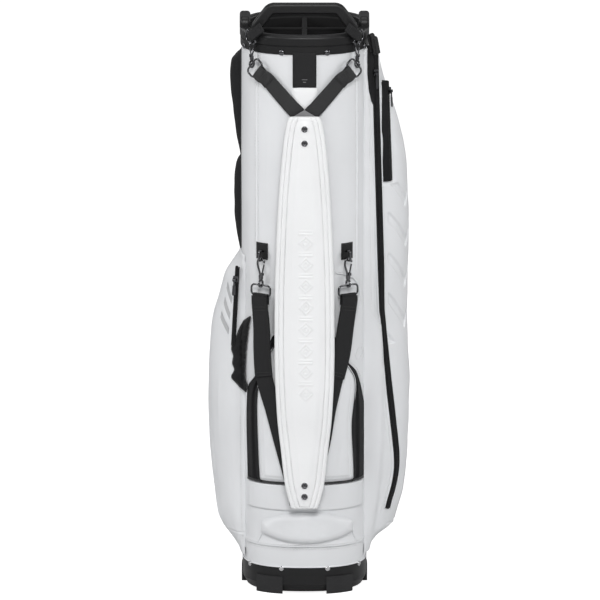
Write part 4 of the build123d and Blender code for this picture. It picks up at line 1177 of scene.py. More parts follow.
for surf, ph, z0, z1 in ((right, 150, 62, 878), (left, -148, 60, 534), (leftup, -141, 698, 862), (leftmid, -141, 538, 690),
                         (ball, 152.5, 94, 360), (ball, 210, 94, 360), (backup, 156, 432, 714), (backup, 204, 432, 714)):
    z = np.linspace(z0, z1, 160)
    edge_pipe(pipe_w, body, ph + 0 * z, z, 1.6, 1.2)
z = np.linspace(70, 876, 220)
edge_pipe(pipe_w, body, 63.4 + 0 * z, z, 1.2, 0.8)
z = np.linspace(64, 532, 160)
edge_pipe(pipe_w, body, -63.4 + 0 * z, z, 1.2, 0.8)
for surf, z0, z1 in ((leftup, 700, 860), (leftmid, 540, 688)):
    z = np.linspace(z0, z1, 60)
    edge_pipe(black_pipe_and_gap_shade, surf, -119 + 0 * z, z, 1.3, 0.5)
    edge_pipe(black_pipe_and_gap_shade, body, -95 + 0 * z, z, 1.3, 0.8)
for z0, ph0, ph1, surf in ((92, 152.5, 210, body), (362, 152.5, 210, body), (430, 156, 204, body), (716, 156, 204, body)):
    f = np.linspace(ph0, ph1, 60)
    edge_pipe(pipe_w, surf, f, z0 + 0 * f, 1.5, 1.0)
for surf, fn, z0, z1, o in ((right, lambda z: zip_phi(z) - 4.4, 120, 868, 0.4), (right, lambda z: 126.6 + 0 * z, 90, 860, 0.6),
                            (right, lambda z: 129.4 + 0 * z, 90, 860, 0.6), (left, lambda z: -126.6 + 0 * z, 80, 520, 0.6),
                            (left, lambda z: -129.4 + 0 * z, 80, 520, 0.6), (left, lambda z: -64.9 + 0 * z, 70, 390, 0.4),
                            (ball, lambda z: 158.7 + 0 * z, 105, 350, 0.6), (backup, lambda z: 160.7 + 0 * z, 440, 706, 0.5),
                            (backup, lambda z: 199.3 + 0 * z, 440, 706, 0.5)):
    z = np.linspace(z0, z1, 260)
    P, Nn = on_surface(surf, fn(z), z, o)
    stitch(stitches, P, Nn)
for surf, z0, f0, f1 in ((backup, 643.4, 158, 202), (backup, 636.6, 158, 202), (ball, 321.4, 156, 202), (right, 92.6, 85, 146)):
    f = np.linspace(f0, f1, 120)
    P, Nn = on_surface(surf, f, z0 + 0 * f, 0.5)
    stitch(stitches, P, Nn)

# ---- zips
z = np.linspace(868, ZIP_Z[0], 420)
P, Nn = on_surface(right, zip_phi(z), z, 0.9)
k = smooth01((z - 420) / 120)[:, None]
flat = unit([0.42, -0.91, 0])
cad = polar(oval_r(71.0) + np.array([zip_height(q) for q in z]) + 1.9, 71.0 + 0 * z, z)
P = P * (1 - k) + cad * k
side = smooth01((z - ZIP_Z[0]) / 130)[:, None]
Nn = unit(Nn * (1 - k) + flat * k)
Nn = unit(Nn * (1 - 0.55 * side * (1 - k)) + flat * 0.55 * side * (1 - k))
zip_run("right_zip", P, Nn, 12.2, nodes=("right_zip",), depth=4.0)
lip = Soup()
T = tangents(P)
S = unit(np.cross(T, Nn))
for e in (-6.9, 6.9):
    tube(lip, P + S * e - Nn * 0.5, 1.2, sides=8)
lip.make("right_zip_lips", WHITE, "bag")
top, bot, out = np.array([132.1, -8.2, 818]), np.array([137.6, -27.2, 662]), np.array([0.93, -0.37, 0])
P = top + (bot - top) * np.linspace(0, 1, 60)[:, None] + unit(out) * 0.9
zip_run("right_upper_zip", P, np.repeat(out[None], 60, 0), 10.5, nodes=("right_upper_zip",), depth=9.0)
# the tape's wide near side, sewn down on the pocket
v = np.linspace(80.5, 181.5, 40)
near = np.array([seen_on(right0, 381.0, q, 64.5, 96.0) for q in v])
A0 = right.at(near[:, 0], near[:, 1], 0.9)
zb = np.linspace(818, 662, 40)
q = (818 - A0[:, 2]) / (818 - 662)
B0 = top + (bot - top) * q[:, None] + unit(out) * 0.6
cols = np.linspace(0, 1, 9)
G = A0[:, None] * (1 - cols)[None, :, None] + B0[:, None] * cols[None, :, None]
G += unit([0.5, -0.86, 0]) * (1.4 * np.sin(math.pi * cols) + 0.5)[None, :, None]
under = A0 - unit([0.5, -0.86, 0]) * 2.5
G = np.concatenate([under[:, None], G], 1)
uvg = np.stack(np.broadcast_arrays(np.linspace(0, 0.014, 10)[None, :], (-A0[:, 2] * 0.001)[:, None]), -1)
grid_object("right_upper_zip_flap", G, TAPE, nodes=("right_upper_zip",), uv=uvg, flip=False)
flap_thread = Soup()
stitch(flap_thread, G[:, 2] + unit([0.5, -0.86, 0]) * 0.2, np.repeat(unit([0.5, -0.86, 0])[None], 40, 0), 3.6, 2.5, 0.3)
flap_thread.make("right_upper_zip_flap_stitch", DKTHREAD, "bag")
lip2 = Soup()
tube(lip2, A0 + unit([-0.86, -0.5, 0]) * 1.0, 1.1, sides=8)
lip2.make("right_upper_zip_lip", WHITE, "bag")
P, Nn = on_surface(left, -66.5, np.linspace(524, 396, 60), 0.6)
t0 = polar(oval_r(-66.5) + 12.0, np.array(-66.5), np.array(524.0))
t1 = polar(oval_r(-66.5) + 19.5, np.array(-66.5), np.array(396.0))
P = t0 + (t1 - t0) * np.linspace(0, 1, 60)[:, None] + unit([-0.55, -0.83, 0]) * 0.6
zip_run("left_zip", P, np.repeat(np.array([[-0.55, -0.83, 0]]), 60, 0), 7.0, nodes=("left_zip",), pitch=1.6)
t0 = polar(oval_r(206.0) + 31.0, np.array(206.0), np.array(312.0))
t1 = polar(oval_r(206.0) + 33.0, np.array(206.0), np.array(160.0))
P = t0 + (t1 - t0) * np.linspace(0, 1, 60)[:, None] + unit([-0.90, 0.44, 0]) * 0.6
zip_run("ball_zip", P, np.repeat(np.array([[-0.90, 0.44, 0]]), 60, 0), 10.0, nodes=("ball_zip",))


# ================================================================= front pocket, gussets, band and handle
def front_at(x, z, off=0.0):
    """Point at exactly this x on a skin that lies off outside the tube's front."""
    x, z = np.broadcast_arrays(np.asarray(x, float), np.asarray(z, float))
    o = body_off(z) + off
    a, b = A + o, B + o
    y = -b * (1 - np.minimum(np.abs(x) / a, 0.9995) ** N) ** (1 / N)
    return np.stack([x, y, z + 0 * x], -1)


def front_at_n(x, z, off=0.0):
    e = 0.5
    x, z = np.broadcast_arrays(np.asarray(x, float), np.asarray(z, float))
    dx = front_at(x + e, z, off) - front_at(x - e, z, off)
    return unit(np.cross(dx, np.array([0, 0, 1.0])))


def outline_of(right_zx, left_zx, corner=7.0, n=420):
    """Closed outline from the right side's and the left side's (z, x) stations, bottom corners rounded."""
    rz, rx = np.array(right_zx, float).T
    lz, lx = np.array(left_zx, float).T
    R = smooth_path(np.stack([rx, rz], 1), 160)
    L = smooth_path(np.stack([lx, lz], 1), 160)
    P = np.vstack([R, L[::-1][1:]])
    P = resample(P, 1.0, closed=True)
    for _ in range(int(corner * 2)):
        P = 0.25 * np.roll(P, 1, 0) + 0.5 * P + 0.25 * np.roll(P, -1, 0)
    P = resample(P, 1.0, closed=True)
    d = np.r_[0, np.cumsum(np.linalg.norm(np.diff(np.vstack([P, P[:1]]), axis=0), axis=1))]
    s = np.linspace(0, d[-1], n, endpoint=False)
    Q = np.vstack([P, P[:1]])
    return np.stack([np.interp(s, d, Q[:, k]) for k in range(2)], 1)


def edge_distance(X, Z, out):
    d = np.full(X.shape, 1e9)
    for k in range(0, len(out), 2):
        d = np.minimum(d, np.hypot(X - out[k, 0], Z - out[k, 1]))
    return d


def puffed(name, out, centre, off_fn, detail, mat, nodes, inner=44, base=0.5, drop=7, rides="bag"):
    """Panel filling a closed outline, from its raised edge to a centre. off_fn(d) is the height at edge distance d."""
    c = np.array(centre, float)
    rim = out - c
    L = np.linalg.norm(rim, axis=1)
    ks = [0.0, 0.5, 1.1, 1.8, 2.6, 3.4, 4.3, 5.2, 6.2, 7.4, 8.8, 10.4, 12.2, 14.4, 17, 20]
    rows = []
    for k in ks:
        rows.append(c + rim * (1 - np.minimum(k, 0.9 * L) / L)[:, None])
    inside = rows[-1] - c
    for f in np.linspace(0, 1, inner)[1:-1]:
        rows.append(c + inside * (1 - f))
    rows.append(c + inside * 0.004)
    G = np.array(rows)
    X, Z = G[..., 0], G[..., 1]
    D = edge_distance(X, Z, out)
    D[0] = 0
    off = off_fn(D) + detail(X, Z, D)
    P = front_at(X, Z, off)
    skirt = [front_at(out[:, 0], out[:, 1], off[0] - (off[0] - base) * f) for f in (1.0, 0.66, 0.33)]
    P = np.concatenate([np.array(skirt), P])
    uv = np.stack([np.vstack([out[None, :, 0]] * 3 + [X]), np.vstack([out[None, :, 1]] * 3 + [Z])], -1) * 0.001
    ob = grid_object(name, P, mat, rides=rides, nodes=nodes, wrap=True, uv=uv, flip=True)
    return ob


R_EDGE = ((186.5, 78), (190, 78.5), (276, 75.5), (345, 80.5), (375, 66.7), (405, 50), (418, 30), (424, 12), (425, 0))
L_EDGE = ((186.5, -71), (190, -71.5), (292, -75.7), (323, -75), (345, -72), (375, -62), (405, -48), (418, -30), (424, -12), (425, 0))
fp_out = outline_of(R_EDGE, L_EDGE)


def fp_off(d):
    t = np.clip(d / 15.0, 0, 1)
    return 3.5 + 9.3 * np.sqrt(1 - (1 - t) ** 2)


def fp_detail(X, Z, D):
    soft = smooth01((D - 4) / 20)
    w = soft * (1.1 * wrinkle(X, Z, 71, 80) + 0.5 * wrinkle(X, Z, 72, 34))
    w = w - 0.9 * gauss(D - 6.5, 0.9) + 0.4 * gauss(D - 9.0, 1.6)
    for x0, z0, z1, k in ((58, 230, 30, 1.2), (50, 300, 42, -1.0), (-56, 260, 34, 1.1), (-50, 330, 30, -0.8), (60, 345, 22, 0.9)):
        w = w + k * gauss(X - x0 - 0.12 * (Z - z0), 4.0) * gauss(Z - z0, z1)
    return w


puffed("front_pocket_leather", fp_out, (2, 290), fp_off, fp_detail, WHITE, ("front_pocket",))
P = front_at(fp_out[:, 0], fp_out[:, 1], 4.6)
Nn = front_at_n(fp_out[:, 0], fp_out[:, 1])
tube(pipe_w, resample(P + 0, 2.2, closed=True), 1.7, closed=True, sides=9)
c2 = np.array([2, 290.0])
inset = c2 + (fp_out - c2) * (1 - 6.5 / np.linalg.norm(fp_out - c2, axis=1))[:, None]
stitch(stitches, front_at(inset[:, 0], inset[:, 1], fp_off(6.0) - 0.9), front_at_n(inset[:, 0], inset[:, 1]))

# black knit gussets with a bellows fold, white piping outside
G_OUT = (((181.5, 94.8), (200, 95.2), (284, 96.6), (308, 94.6), (358, 82.9), (381, 66.7), (405, 57), (420, 50), (434, 24), (438, 0)),
         ((181.5, -91.0), (200, -91.2), (261, -92.6), (300, -92.4), (333, -89.6), (353, -78.7), (384, -67), (405, -57.5), (423, -50), (435, -24), (438, 0)))
G_IN = (((181.5, 75),) + R_EDGE[1:], ((181.5, -68),) + L_EDGE[1:])
gus = Soup()
for out_s, in_s in zip(G_OUT, G_IN):
    o = resample(smooth_path(np.array([(x, z) for z, x in out_s], float), 200), 1.0)
    i = resample(smooth_path(np.array([(x, z) for z, x in in_s], float), 200), 1.0)
    n = 230
    s = np.linspace(0, 1, n)
    o = np.stack([np.interp(s, np.linspace(0, 1, len(o)), o[:, k]) for k in range(2)], 1)
    i = np.stack([np.interp(s, np.linspace(0, 1, len(i)), i[:, k]) for k in range(2)], 1)
    us = np.array([0, 0.08, 0.2, 0.32, 0.42, 0.5, 0.58, 0.68, 0.8, 0.9, 1.0])
    hs = np.array([7.5, 6.8, 4.2, 1.8, 2.8, 4.6, 5.0, 3.6, 1.6, 1.2, 0.9])
    X = i[:, None, 0] + (o - i)[:, None, 0] * us
    Z = i[:, None, 1] + (o - i)[:, None, 1] * us
    wave = 0.8 * np.sin(Z / 9.0 + X / 17) * np.sin(np.pi * us)[None]
    Pg = front_at(X, Z, hs[None] + wave)
    uv = np.stack([X, Z], -1) * 0.001
    sgn = 1 if out_s[0][1] > 0 else -1
    grid_object("front_gusset_right" if sgn > 0 else "front_gusset_left", Pg, MESH, nodes=("front_gussets",), uv=uv, flip=sgn < 0)
    Pp = front_at(o[:, 0] * 1.012, o[:, 1], 0.9)
    tube(pipe_w, resample(Pp, 2.2), 1.2, sides=9)
    ins = o + (o - i) / (np.linalg.norm(o - i, axis=1, keepdims=True) + 1e-6) * 4.0
    Ps = front_at(ins[:, 0], ins[:, 1], 0.5)
    stitch(stitches, Ps, front_at_n(ins[:, 0], ins[:, 1]))

# lower band under the pocket, and black tubes as painted shade in the gap above it
x = np.linspace(-91, 93.5, 150)
zt = np.r_[0, 0.6, 1.4, 2.4, 3.6, 5.0, np.linspace(7, 36, 20), 38, 39.4, 40.6, 41.6, 42.4, 43]
X, T = np.meshgrid(x, zt)
Zb = 137 + T
dd = np.minimum(np.minimum(T, 43 - T), np.minimum(X + 91, 93.5 - X))
o = 0.5 + 3.6 * np.sqrt(1 - (1 - np.clip(dd / 5.0, 0, 1)) ** 2) + smooth01((dd - 3) / 12) * (0.9 * wrinkle(X, Zb, 81, 60) + 0.4 * wrinkle(X, Zb, 82, 26))
o = o - 0.7 * gauss(dd - 6.0, 0.9)
grid_object("lower_band_leather", front_at(X, Zb, o), WHITE, nodes=("lower_band",), uv=np.stack([X, Zb], -1) * 0.001)
for zz in (143.0, 174.0):
    xx = np.linspace(-85, 88, 200)
    stitch(stitches, front_at(xx, zz + 0 * xx, 3.4), front_at_n(xx, zz + 0 * xx))
xx = np.linspace(-90, 93.5, 140)
# Two black tubes fill the gap between the band and the pocket: painted shade.
tube(black_pipe_and_gap_shade, front_at(xx, 183.0 + 0 * xx, 4.4), 1.9, sides=10)
tube(black_pipe_and_gap_shade, front_at(xx, 182.4 + 0 * xx, 1.6), 1.9, sides=10)

# lens-shaped lift handle
xs = np.linspace(-70, 78, 90)
t = (xs - 4) / 74
top = 132.8 - 16.5 * np.abs(t) ** 2.2
low = 85.0 + 14.5 * np.abs(t) ** 2.0
lens = np.vstack([np.stack([xs, low], 1), np.stack([xs[::-1], top[::-1]], 1)[0:]])
lens = resample(lens, 1.0, closed=True)
for _ in range(14):
    lens = 0.25 * np.roll(lens, 1, 0) + 0.5 * lens + 0.25 * np.roll(lens, -1, 0)
lens = resample(lens, 1.3, closed=True)


def lens_off(d):
    return 2.4 + 6.6 * np.sqrt(1 - (1 - np.clip(d / 11.0, 0, 1)) ** 2)


def lens_detail(X, Z, D):
    k = smooth01(D / 12)
    w = k * (0.9 * wrinkle(X, Z, 91, 46) + 0.4 * wrinkle(X, Z, 92, 20))
    return w + k * 0.8 * np.cos((Z - 108) / 5.5) * gauss(np.abs(X - 4) - 66, 8)


puffed("lift_handle_leather", lens, (4, 108), lens_off, lens_detail, WHITE, ("lift_handle",), inner=26, base=0.4)
tube(pipe_w, resample(front_at(lens[:, 0], lens[:, 1], 2.2), 2.0, closed=True), 1.4, closed=True, sides=9)
for xa, xb in ((-75, -67), (83, 76)):
    zz = np.linspace(80, 108, 30)
    xx = xa + (xb - xa) * np.sin(np.linspace(0, math.pi / 2, 30))
    tube(pipe_w, front_at(xx, zz, 0.7), 1.0, sides=7)
zz = 78.0
f = np.linspace(-62, 62, 160)
for dz in (-2.2, 2.2):
    P, Nn = on_surface(body, f, zz + dz + 0 * f, 0.3)
    stitch(stitches, P, Nn)
P, Nn = on_surface(body, f, zz + 0 * f, 0.2)
tube(pipe_w, P, 0.9, sides=7)

# piping arc beside the right anchor, with a small stitched leaf
def px(pts, off=1.2):
    pts = np.array(pts, float)
    X = (pts[:, 0] - 304.5) * 1.6
    Z = 1.6 * (580 - pts[:, 1]) / 0.976
    for _ in range(3):
        Y = front_at(X, Z, off)[:, 1]
        Z = (1.6 * (580 - pts[:, 1]) - 0.2164 * Y) / 0.976
    return X, Z


X, Z = px([(336, 273), (345, 274.5), (353, 278), (358, 285), (359.5, 293), (358, 303), (355.5, 314), (349.5, 327)])
Q = smooth_path(np.stack([X, Z], 1), 80)
tube(pipe_w, resample(front_at(Q[:, 0], Q[:, 1], 1.0), 2.0), 1.6, sides=9)
stitch(stitches, front_at(Q[:, 0] + 3.5, Q[:, 1] + 1, 0.5), front_at_n(Q[:, 0], Q[:, 1]))
X, Z = px([(359, 353)])
a = np.linspace(0, 2 * math.pi, 40, endpoint=False)
tube(pipe_w, front_at(X[0] + 5.5 * np.cos(a) * (1 - 0.35 * np.abs(np.sin(a))) + 2 * np.sin(a), Z[0] + 9 * np.sin(a), 0.5), 0.6, closed=True, sides=7)

pipe_w.make("white_edge_piping", WHITE, "bag")
# Real black piping of the side pockets, plus the painted-shade tubes in the gap above the lower band.
black_pipe_and_gap_shade.make("black_piping_and_gap_shade", PIPING, "bag")


# ================================================================= drinks sleeve on the left pocket
def left_at_x(X, Z, off=0.0):
    """Point of the left pocket's face seen at this x."""
    phis = np.linspace(-50, -86, 140)
    out = []
    for xv, zv in zip(np.ravel(X), np.ravel(Z)):
        P = left.at(phis, zv + 0 * phis, off) if zv < 534 else body.at(phis, zv + 0 * phis, off + 0.5)
        xs = np.minimum.accumulate(P[:, 0])
        i = np.interp(-xv, -xs, np.arange(len(xs)))
        out.append([np.interp(i, np.arange(len(xs)), P[:, k]) for k in range(3)])
    return np.array(out).reshape(np.shape(X) + (3,))


leaf_r = [(250, 318.6), (248, 332), (245.5, 357), (245, 383), (247.5, 388), (246, 394)]
leaf_l = [(250, 318.6), (244, 325), (239, 335), (236, 343), (232, 352), (234, 360), (233, 366.5), (235, 374), (232, 381), (237, 387), (242, 392), (246, 394)]
rr = smooth_path(np.array(leaf_r, float), 70)
ll = smooth_path(np.array(leaf_l, float), 70)
vv = np.linspace(318.6, 394, 46)
xr = np.interp(vv, rr[:, 1], rr[:, 0])
xl = np.interp(vv, ll[:, 1], ll[:, 0])
us = np.linspace(0, 1, 12)
PX = xl[:, None] + (xr - xl)[:, None] * us
XX = (PX - 304.5) * 1.6
ZZ = (1.6 * (580 - vv) + 0.2164 * 80) / 0.976
ZZ = np.repeat(ZZ[:, None], 12, 1)
bulge = 2.2 + 5.5 * np.sin(math.pi * np.clip(us, 0, 1)) ** 0.7 * np.sin(math.pi * np.linspace(0.02, 0.98, 46))[:, None] ** 0.5
bulge = bulge + 1.0 * np.sin(ZZ / 3.4) * (1 - us) + 0.5 * np.sin(ZZ / 1.9 + XX / 4)
PL = np.array([[left_at_x(np.array([XX[j, i]]), np.array([ZZ[j, i]]), bulge[j, i])[0] for i in range(12)] for j in range(46)])
grid_object("drinks_sleeve_knit", PL, MESH, nodes=("bottle_sleeve",), uv=np.stack([XX, ZZ], -1) * 0.001, flip=True)
slv = Soup()
tube(slv, smooth_path(PL[:, 0], 90), 1.5, sides=8)
tube(slv, smooth_path(PL[:, -1], 90), 1.2, sides=8)
slv.make("drinks_sleeve_binding", PIPING, "bag")


# ================================================================= web loops on the bag
def bent_ribbon(name, pts, norms, width, thick, mat, rides, nodes=(), n=80, **kw):
    P = smooth_path(np.array(pts, float), n)
    d = np.r_[0, np.cumsum(np.linalg.norm(np.diff(np.array(pts, float), axis=0), axis=1))]
    s = np.linspace(0, d[-1], n)
    Nn = np.stack([np.interp(s, d, np.array(norms, float)[:, k]) for k in range(3)], 1)
    return ribbon(name, P, unit(Nn), width, thick, mat, rides, nodes, **kw), P, unit(Nn)


def around(c, axis, start, r, a0, a1, n=12):
    """Arc of radius r round a bar through c, from angle a0 to a1 measured from start towards axis x start."""
    axis, start = unit(axis), unit(start)
    side = np.cross(axis, start)
    a = np.radians(np.linspace(a0, a1, n))
    return c + (start[None] * np.cos(a)[:, None] + side[None] * np.sin(a)[:, None]) * r


def loop_path(c, bar, away, out, r, front, back):
    """Web that comes back under a bar: tail behind, round the bar, on along away in front. Returns path and normals."""
    side = unit(out)
    away = unit(away)
    P, M = [], []
    for s in np.linspace(back, 0.5, 6):
        P.append(c + away * s - side * r)
        M.append(-side)
    for a in np.linspace(-90, -270, 13):
        t = math.radians(a)
        d = away * math.cos(t) + side * math.sin(t)
        P.append(c + d * r)
        M.append(d)
    for s in np.linspace(0.5, front, 6):
        P.append(c + away * s + side * r)
        M.append(side)
    return np.array(P), np.array(M)


HOOK_X, HOOK_Z = 84.0, 897.0
cuff_parts, mid_parts = [], []
seam_thread = Soup()
for side, s in (("left", -1), ("right", 1)):
    t = np.array([0.79 if s < 0 else -0.79, -0.61, 0.0])
    nrm = np.array([s * 0.61, -0.79, 0.0])
    c50, s50 = math.cos(math.radians(50)), math.sin(math.radians(50))
    Zv = np.array([0, 0, 1.0])
    run = t * c50 - Zv * s50
    away = t * s50 + Zv * c50
    centre = np.array([s * HOOK_X, -86.0, 909.0])
    P, M = loop_path(centre, run, away, nrm, 2.9, 27, 24)
    P[:6] += nrm * 0.6
    P[-6:] -= nrm * np.linspace(0, 2.0, 6)[:, None]
    cuff_parts.append(ribbon("cuff_anchor_loop_" + side, P, M, 15.0, 1.8, WEB, "bag", ("cuff_anchor_loops",)))
    for q in (10, 12.5, 21.5):
        a0 = centre + away * q + nrm * (4.0 - q * 0.05)
        stitch(seam_thread, np.array([a0 - run * 6, a0 + run * 6]), np.array([nrm, nrm]), 3.0, 2.2, 0.33)

    # lower anchors: stitched web patch with a sleeve round the ring's inner bar
    m_n = np.array([s * 0.555, -0.832, 0.0])
    m_t = np.array([0.832, s * 0.555, 0.0])
    bar = np.array([s * 69.7, -97.9, 553.0]) - m_n * 6
    inw = -m_t * s
    Pq = []
    Mq = []
    P, M = loop_path(bar, Zv, inw, m_n, 2.6, 8.5, 8)
    P[:6, :] += m_n * 0.8
    xx = np.linspace(0, 1, 6)
    P[-6:] -= m_n * (2.4 * xx)[:, None]
    mid_parts.append(ribbon("mid_anchor_sleeve_" + side, P, M, 11.0, 1.5, WEB, "bag", ("mid_anchor_tabs",)))
    xs = s * np.linspace(58.5, 77, 14)
    for zoff, hh in ((0.0, 27.0),):
        zz = np.linspace(558.5 - hh / 2, 558.5 + hh / 2, 12)
        X, Zg = np.meshgrid(xs, zz)
        e = np.minimum(np.abs(X - s * 58.5), np.abs(X - s * 77))
        e = np.minimum(e, np.minimum(Zg - zz[0], zz[-1] - Zg))
        o = 0.3 + 1.9 * smooth01(e / 1.4 + 0.02)
        grid_object("mid_anchor_patch_" + side, front_at(X, Zg, o), WEB, nodes=("mid_anchor_tabs",),
                    uv=np.stack([X, Zg], -1) * 0.001, flip=s < 0)
        box = np.array([(s * 60.5, zz[0] + 2), (s * 75, zz[0] + 2), (s * 75, zz[-1] - 2), (s * 60.5, zz[-1] - 2), (s * 60.5, zz[0] + 2)])
        bx = resample(box, 1.0)
        stitch(seam_thread, front_at(bx[:, 0], bx[:, 1], 2.3), front_at_n(bx[:, 0], bx[:, 1]), 3.0, 2.2, 0.32)
seam_thread.make("web_loop_stitches", DKTHREAD, "bag")


# ================================================================= strap
LEAN = math.atan2(16, 640)
PAD_O = np.array([0, -112.6, 783.0])
PAD_Y = np.array([0, math.sin(LEAN), math.cos(LEAN)])
PAD_N = np.array([0, -math.cos(LEAN), math.sin(LEAN)])
PAD_HALF = np.array([(784, 24.4), (780, 25), (776, 26.8), (733, 33.8), (651, 40.7), (569, 44.7), (487, 47), (408, 47.3), (377, 47), (295, 43.1),
                     (241, 37.2), (185, 30.8), (158, 24.2), (146, 20.8)], float)[::-1]


def pad_half(z):
    return pchip(PAD_HALF[:, 0], PAD_HALF[:, 1], np.asarray(z, float).ravel()).reshape(np.shape(z))


def pad_pt(x, z, w):
    x, z, w = np.broadcast_arrays(np.asarray(x, float), np.asarray(z, float), np.asarray(w, float))
    v = (z - 783.0) / math.cos(LEAN)
    return PAD_O + x[..., None] * np.array([1.0, 0, 0]) + v[..., None] * PAD_Y + w[..., None] * PAD_N


EDGE_D = np.array([0, 0.4, 1, 1.8, 2.6, 4, 5.2, 5.8, 6.4, 7, 7.6, 9, 11, 12.4, 13, 13.8, 14.4, 15.2, 17.0])


def pad_grid(z0, z1, inset=0.0, mid=61, zstep=1.5):
    ends = EDGE_D[EDGE_D < 18]
    zs = np.unique(np.round(np.r_[z0 + ends, np.arange(z0 + 18, z1 - 18, zstep), z1 - ends], 3))
    H = pad_half(zs) - inset
    corner = 2.2
    for end, sg in ((z0, 1), (z1, -1)):
        e = np.clip((zs - end) * sg, 0, corner)
        H = H - (corner - np.sqrt(corner ** 2 - (corner - e) ** 2))
    cols = []
    for h in H:
        k = min(1.0, (h - 1.0) / 18.0)
        e = EDGE_D * k
        row = np.r_[-h + e, np.linspace(-h + e[-1], h - e[-1], mid + 2)[1:-1], (h - e)[::-1]]
        cols.append(row)
    X = np.array(cols)
    Zg = np.repeat(zs[:, None], X.shape[1], 1)
    slope = np.gradient(H, zs)
    side = (H[:, None] - np.abs(X)) / np.sqrt(1 + np.clip(slope, -0.6, 0.6)[:, None] ** 2)
    return X, Zg, np.maximum(side, 0), np.maximum(np.minimum(Zg - z0, z1 - Zg), 0)


def pad_height(X, Zg, D, E):
    w = 5.0 + 2.0 * np.sqrt(1 - (1 - np.clip(np.minimum(D, E) / 3.2, 0, 1)) ** 2)
    w = w + 0.55 * gauss(D - 3.6, 1.6)
    w = w - 1.15 * gauss(D - 6.4, 0.8)
    w = w + 0.75 * gauss(D - 10.1, 2.2)
    w = w - 1.35 * gauss(D - 13.8, 0.85)
    w = w + 2.5 * smooth01((D - 14.2) / 13) * smooth01((E - 1) / 16)
    w = w + smooth01((D - 16) / 10) * (0.35 * wrinkle(X, Zg, 101, 90) + 0.2 * wrinkle(X, Zg, 102, 36))
    # generic embossed column: nested lozenges and double bars
    u = np.abs(X - 2)
    c = (Zg - 322) % 35.0
    k = u + np.abs(c - 12.5) * 1.0
    loz = smooth01((1.5 - np.abs(k - 10.5)) / 0.8) + smooth01((1.2 - np.abs(k - 4.6)) / 0.8)
    bar = smooth01((11.5 - u) / 0.9) * (smooth01((1.2 - np.abs(c - 27.0)) / 0.7) + smooth01((1.2 - np.abs(c - 32.0)) / 0.7))
    zone = (Zg > 322) * (Zg < 602)
    w = w + 1.0 * zone * np.clip(loz + bar, 0, 1)
    return w


X, Zg, D, E = pad_grid(146.8, 783.2, zstep=1.4)
W = pad_height(X, Zg, D, E)
back = 2.5 * (1 - np.clip(D / 14, 0, 1)) ** 2
front = pad_pt(X, Zg, W - back * 0.5)
nv, nu = X.shape
rim_w = np.array([2.2, 3.2, 4.2])


def ring_of(a):
    return np.concatenate([a[0, :], a[1:, -1], a[-1, ::-1][1:], a[::-1][1:-1, 0]])


rx, rz, rw = ring_of(X), ring_of(Zg), ring_of(W - back * 0.5)
V = list(front.reshape(-1, 3))
F = grid_faces(nv, nu)
idx_grid = np.arange(nv * nu).reshape(nv, nu)
edge_idx = ring_of(idx_grid)
m = len(edge_idx)
rows_idx = [edge_idx]
shrink = (0.25, 0.55, 1.6)
for k, f in enumerate((0.75, 0.4, 0.0)):
    inx = rx - np.sign(rx) * shrink[k] * (np.abs(rx) > 1)
    q = pad_pt(inx, rz, 1.0 + (rw - 1.0) * f)
    rows_idx.append(np.arange(m) + len(V))
    V += list(q)
for a0, b0 in zip(rows_idx[:-1], rows_idx[1:]):
    for i in range(m):
        j = (i + 1) % m
        F.append((a0[j], a0[i], b0[i], b0[j]))
uv = np.zeros((len(V), 2))
uv[:nv * nu] = np.stack([X.ravel(), Zg.ravel()], -1) * 0.001
for rws in rows_idx[1:]:
    uv[rws] = np.stack([rx, rz], -1) * 0.001
pad_ob = raw_mesh("strap_pad_leather", V, F, uv)
finish_mesh(pad_ob, PADWHITE, "strap", ("strap_pad",))

# soft lining on the back
Xl, Zl, Dl, El = pad_grid(147.8, 782.2, inset=1.2, mid=31, zstep=4.0)
Dl = np.minimum(Dl, El)
wl = 1.2 - 1.0 * smooth01(Dl / 6) + 0.25 * np.sin(Xl / 3.2) * np.sin(Zl / 3.2) * smooth01((Dl - 5) / 5)
back_p = pad_pt(Xl, Zl, np.maximum(wl, 0.05))
grid_object("strap_lining_cloth", back_p, LINING, rides="strap", nodes=("strap_lining",), uv=np.stack([Xl, Zl], -1) * 0.001, flip=True)
trim_l = Soup()
rxl, rzl = ring_of(Xl), ring_of(Zl)
tube(trim_l, resample(pad_pt(rxl * 1.012, rzl, 1.6), 2.5, closed=True), 1.3, closed=True, sides=8)
trim_l.make("strap_edge_binding", PADWHITE, "strap")

pad_thread = Soup()
for d0 in (6.4, 13.8):
    z = np.linspace(146.8 + 1.5, 783.2 - 1.5, 500)
    sl = np.gradient(pad_half(z), z)
    for s in (-1, 1):
        x = s * np.maximum(pad_half(z) - d0 * np.sqrt(1 + sl ** 2), 1.0)
        keep = pad_half(z) > d0 + 6
        P = pad_pt(x[keep], z[keep], 6.05 + (0.5 if d0 > 10 else 0.0) - (0.35 if d0 < 10 else 0))
        stitch(pad_thread, P, np.repeat(PAD_N[None], len(P), 0), 4.2, 3.0, 0.4)
pad_thread.make("strap_pad_stitches", THREAD, "strap")
riv, riv_cup = Soup(), Soup()
for z in (764, 741, 185, 167):
    a = np.linspace(0, 2 * math.pi, 34, endpoint=False)
    w0 = 9.1 if z in (741, 185) else 8.9
    tube(riv_cup, pad_pt(5.6 * np.cos(a), z + 5.6 * np.sin(a), w0), 0.9, closed=True, sides=8)
    v = [pad_pt(r * np.cos(a), z + r * np.sin(a), w0 + h) for r, h in ((5.2, -2.0), (5.1, 0.9), (4.7, 1.7), (4.0, 2.1), (3.4, 1.9), (3.1, 1.2),
                                                                         (2.2, 1.0), (1.4, 1.25), (0.5, 1.4))]
    f = grid_faces(len(v), 34, wrap=True)
    f.append(tuple((len(v) - 1) * 34 + i for i in range(34)))
    riv.add(np.concatenate(v), f)
riv.make("strap_rivet_caps", NICKEL, "strap", ("strap_rivets",))
riv_cup.make("strap_rivet_seats", PADWHITE, "strap")

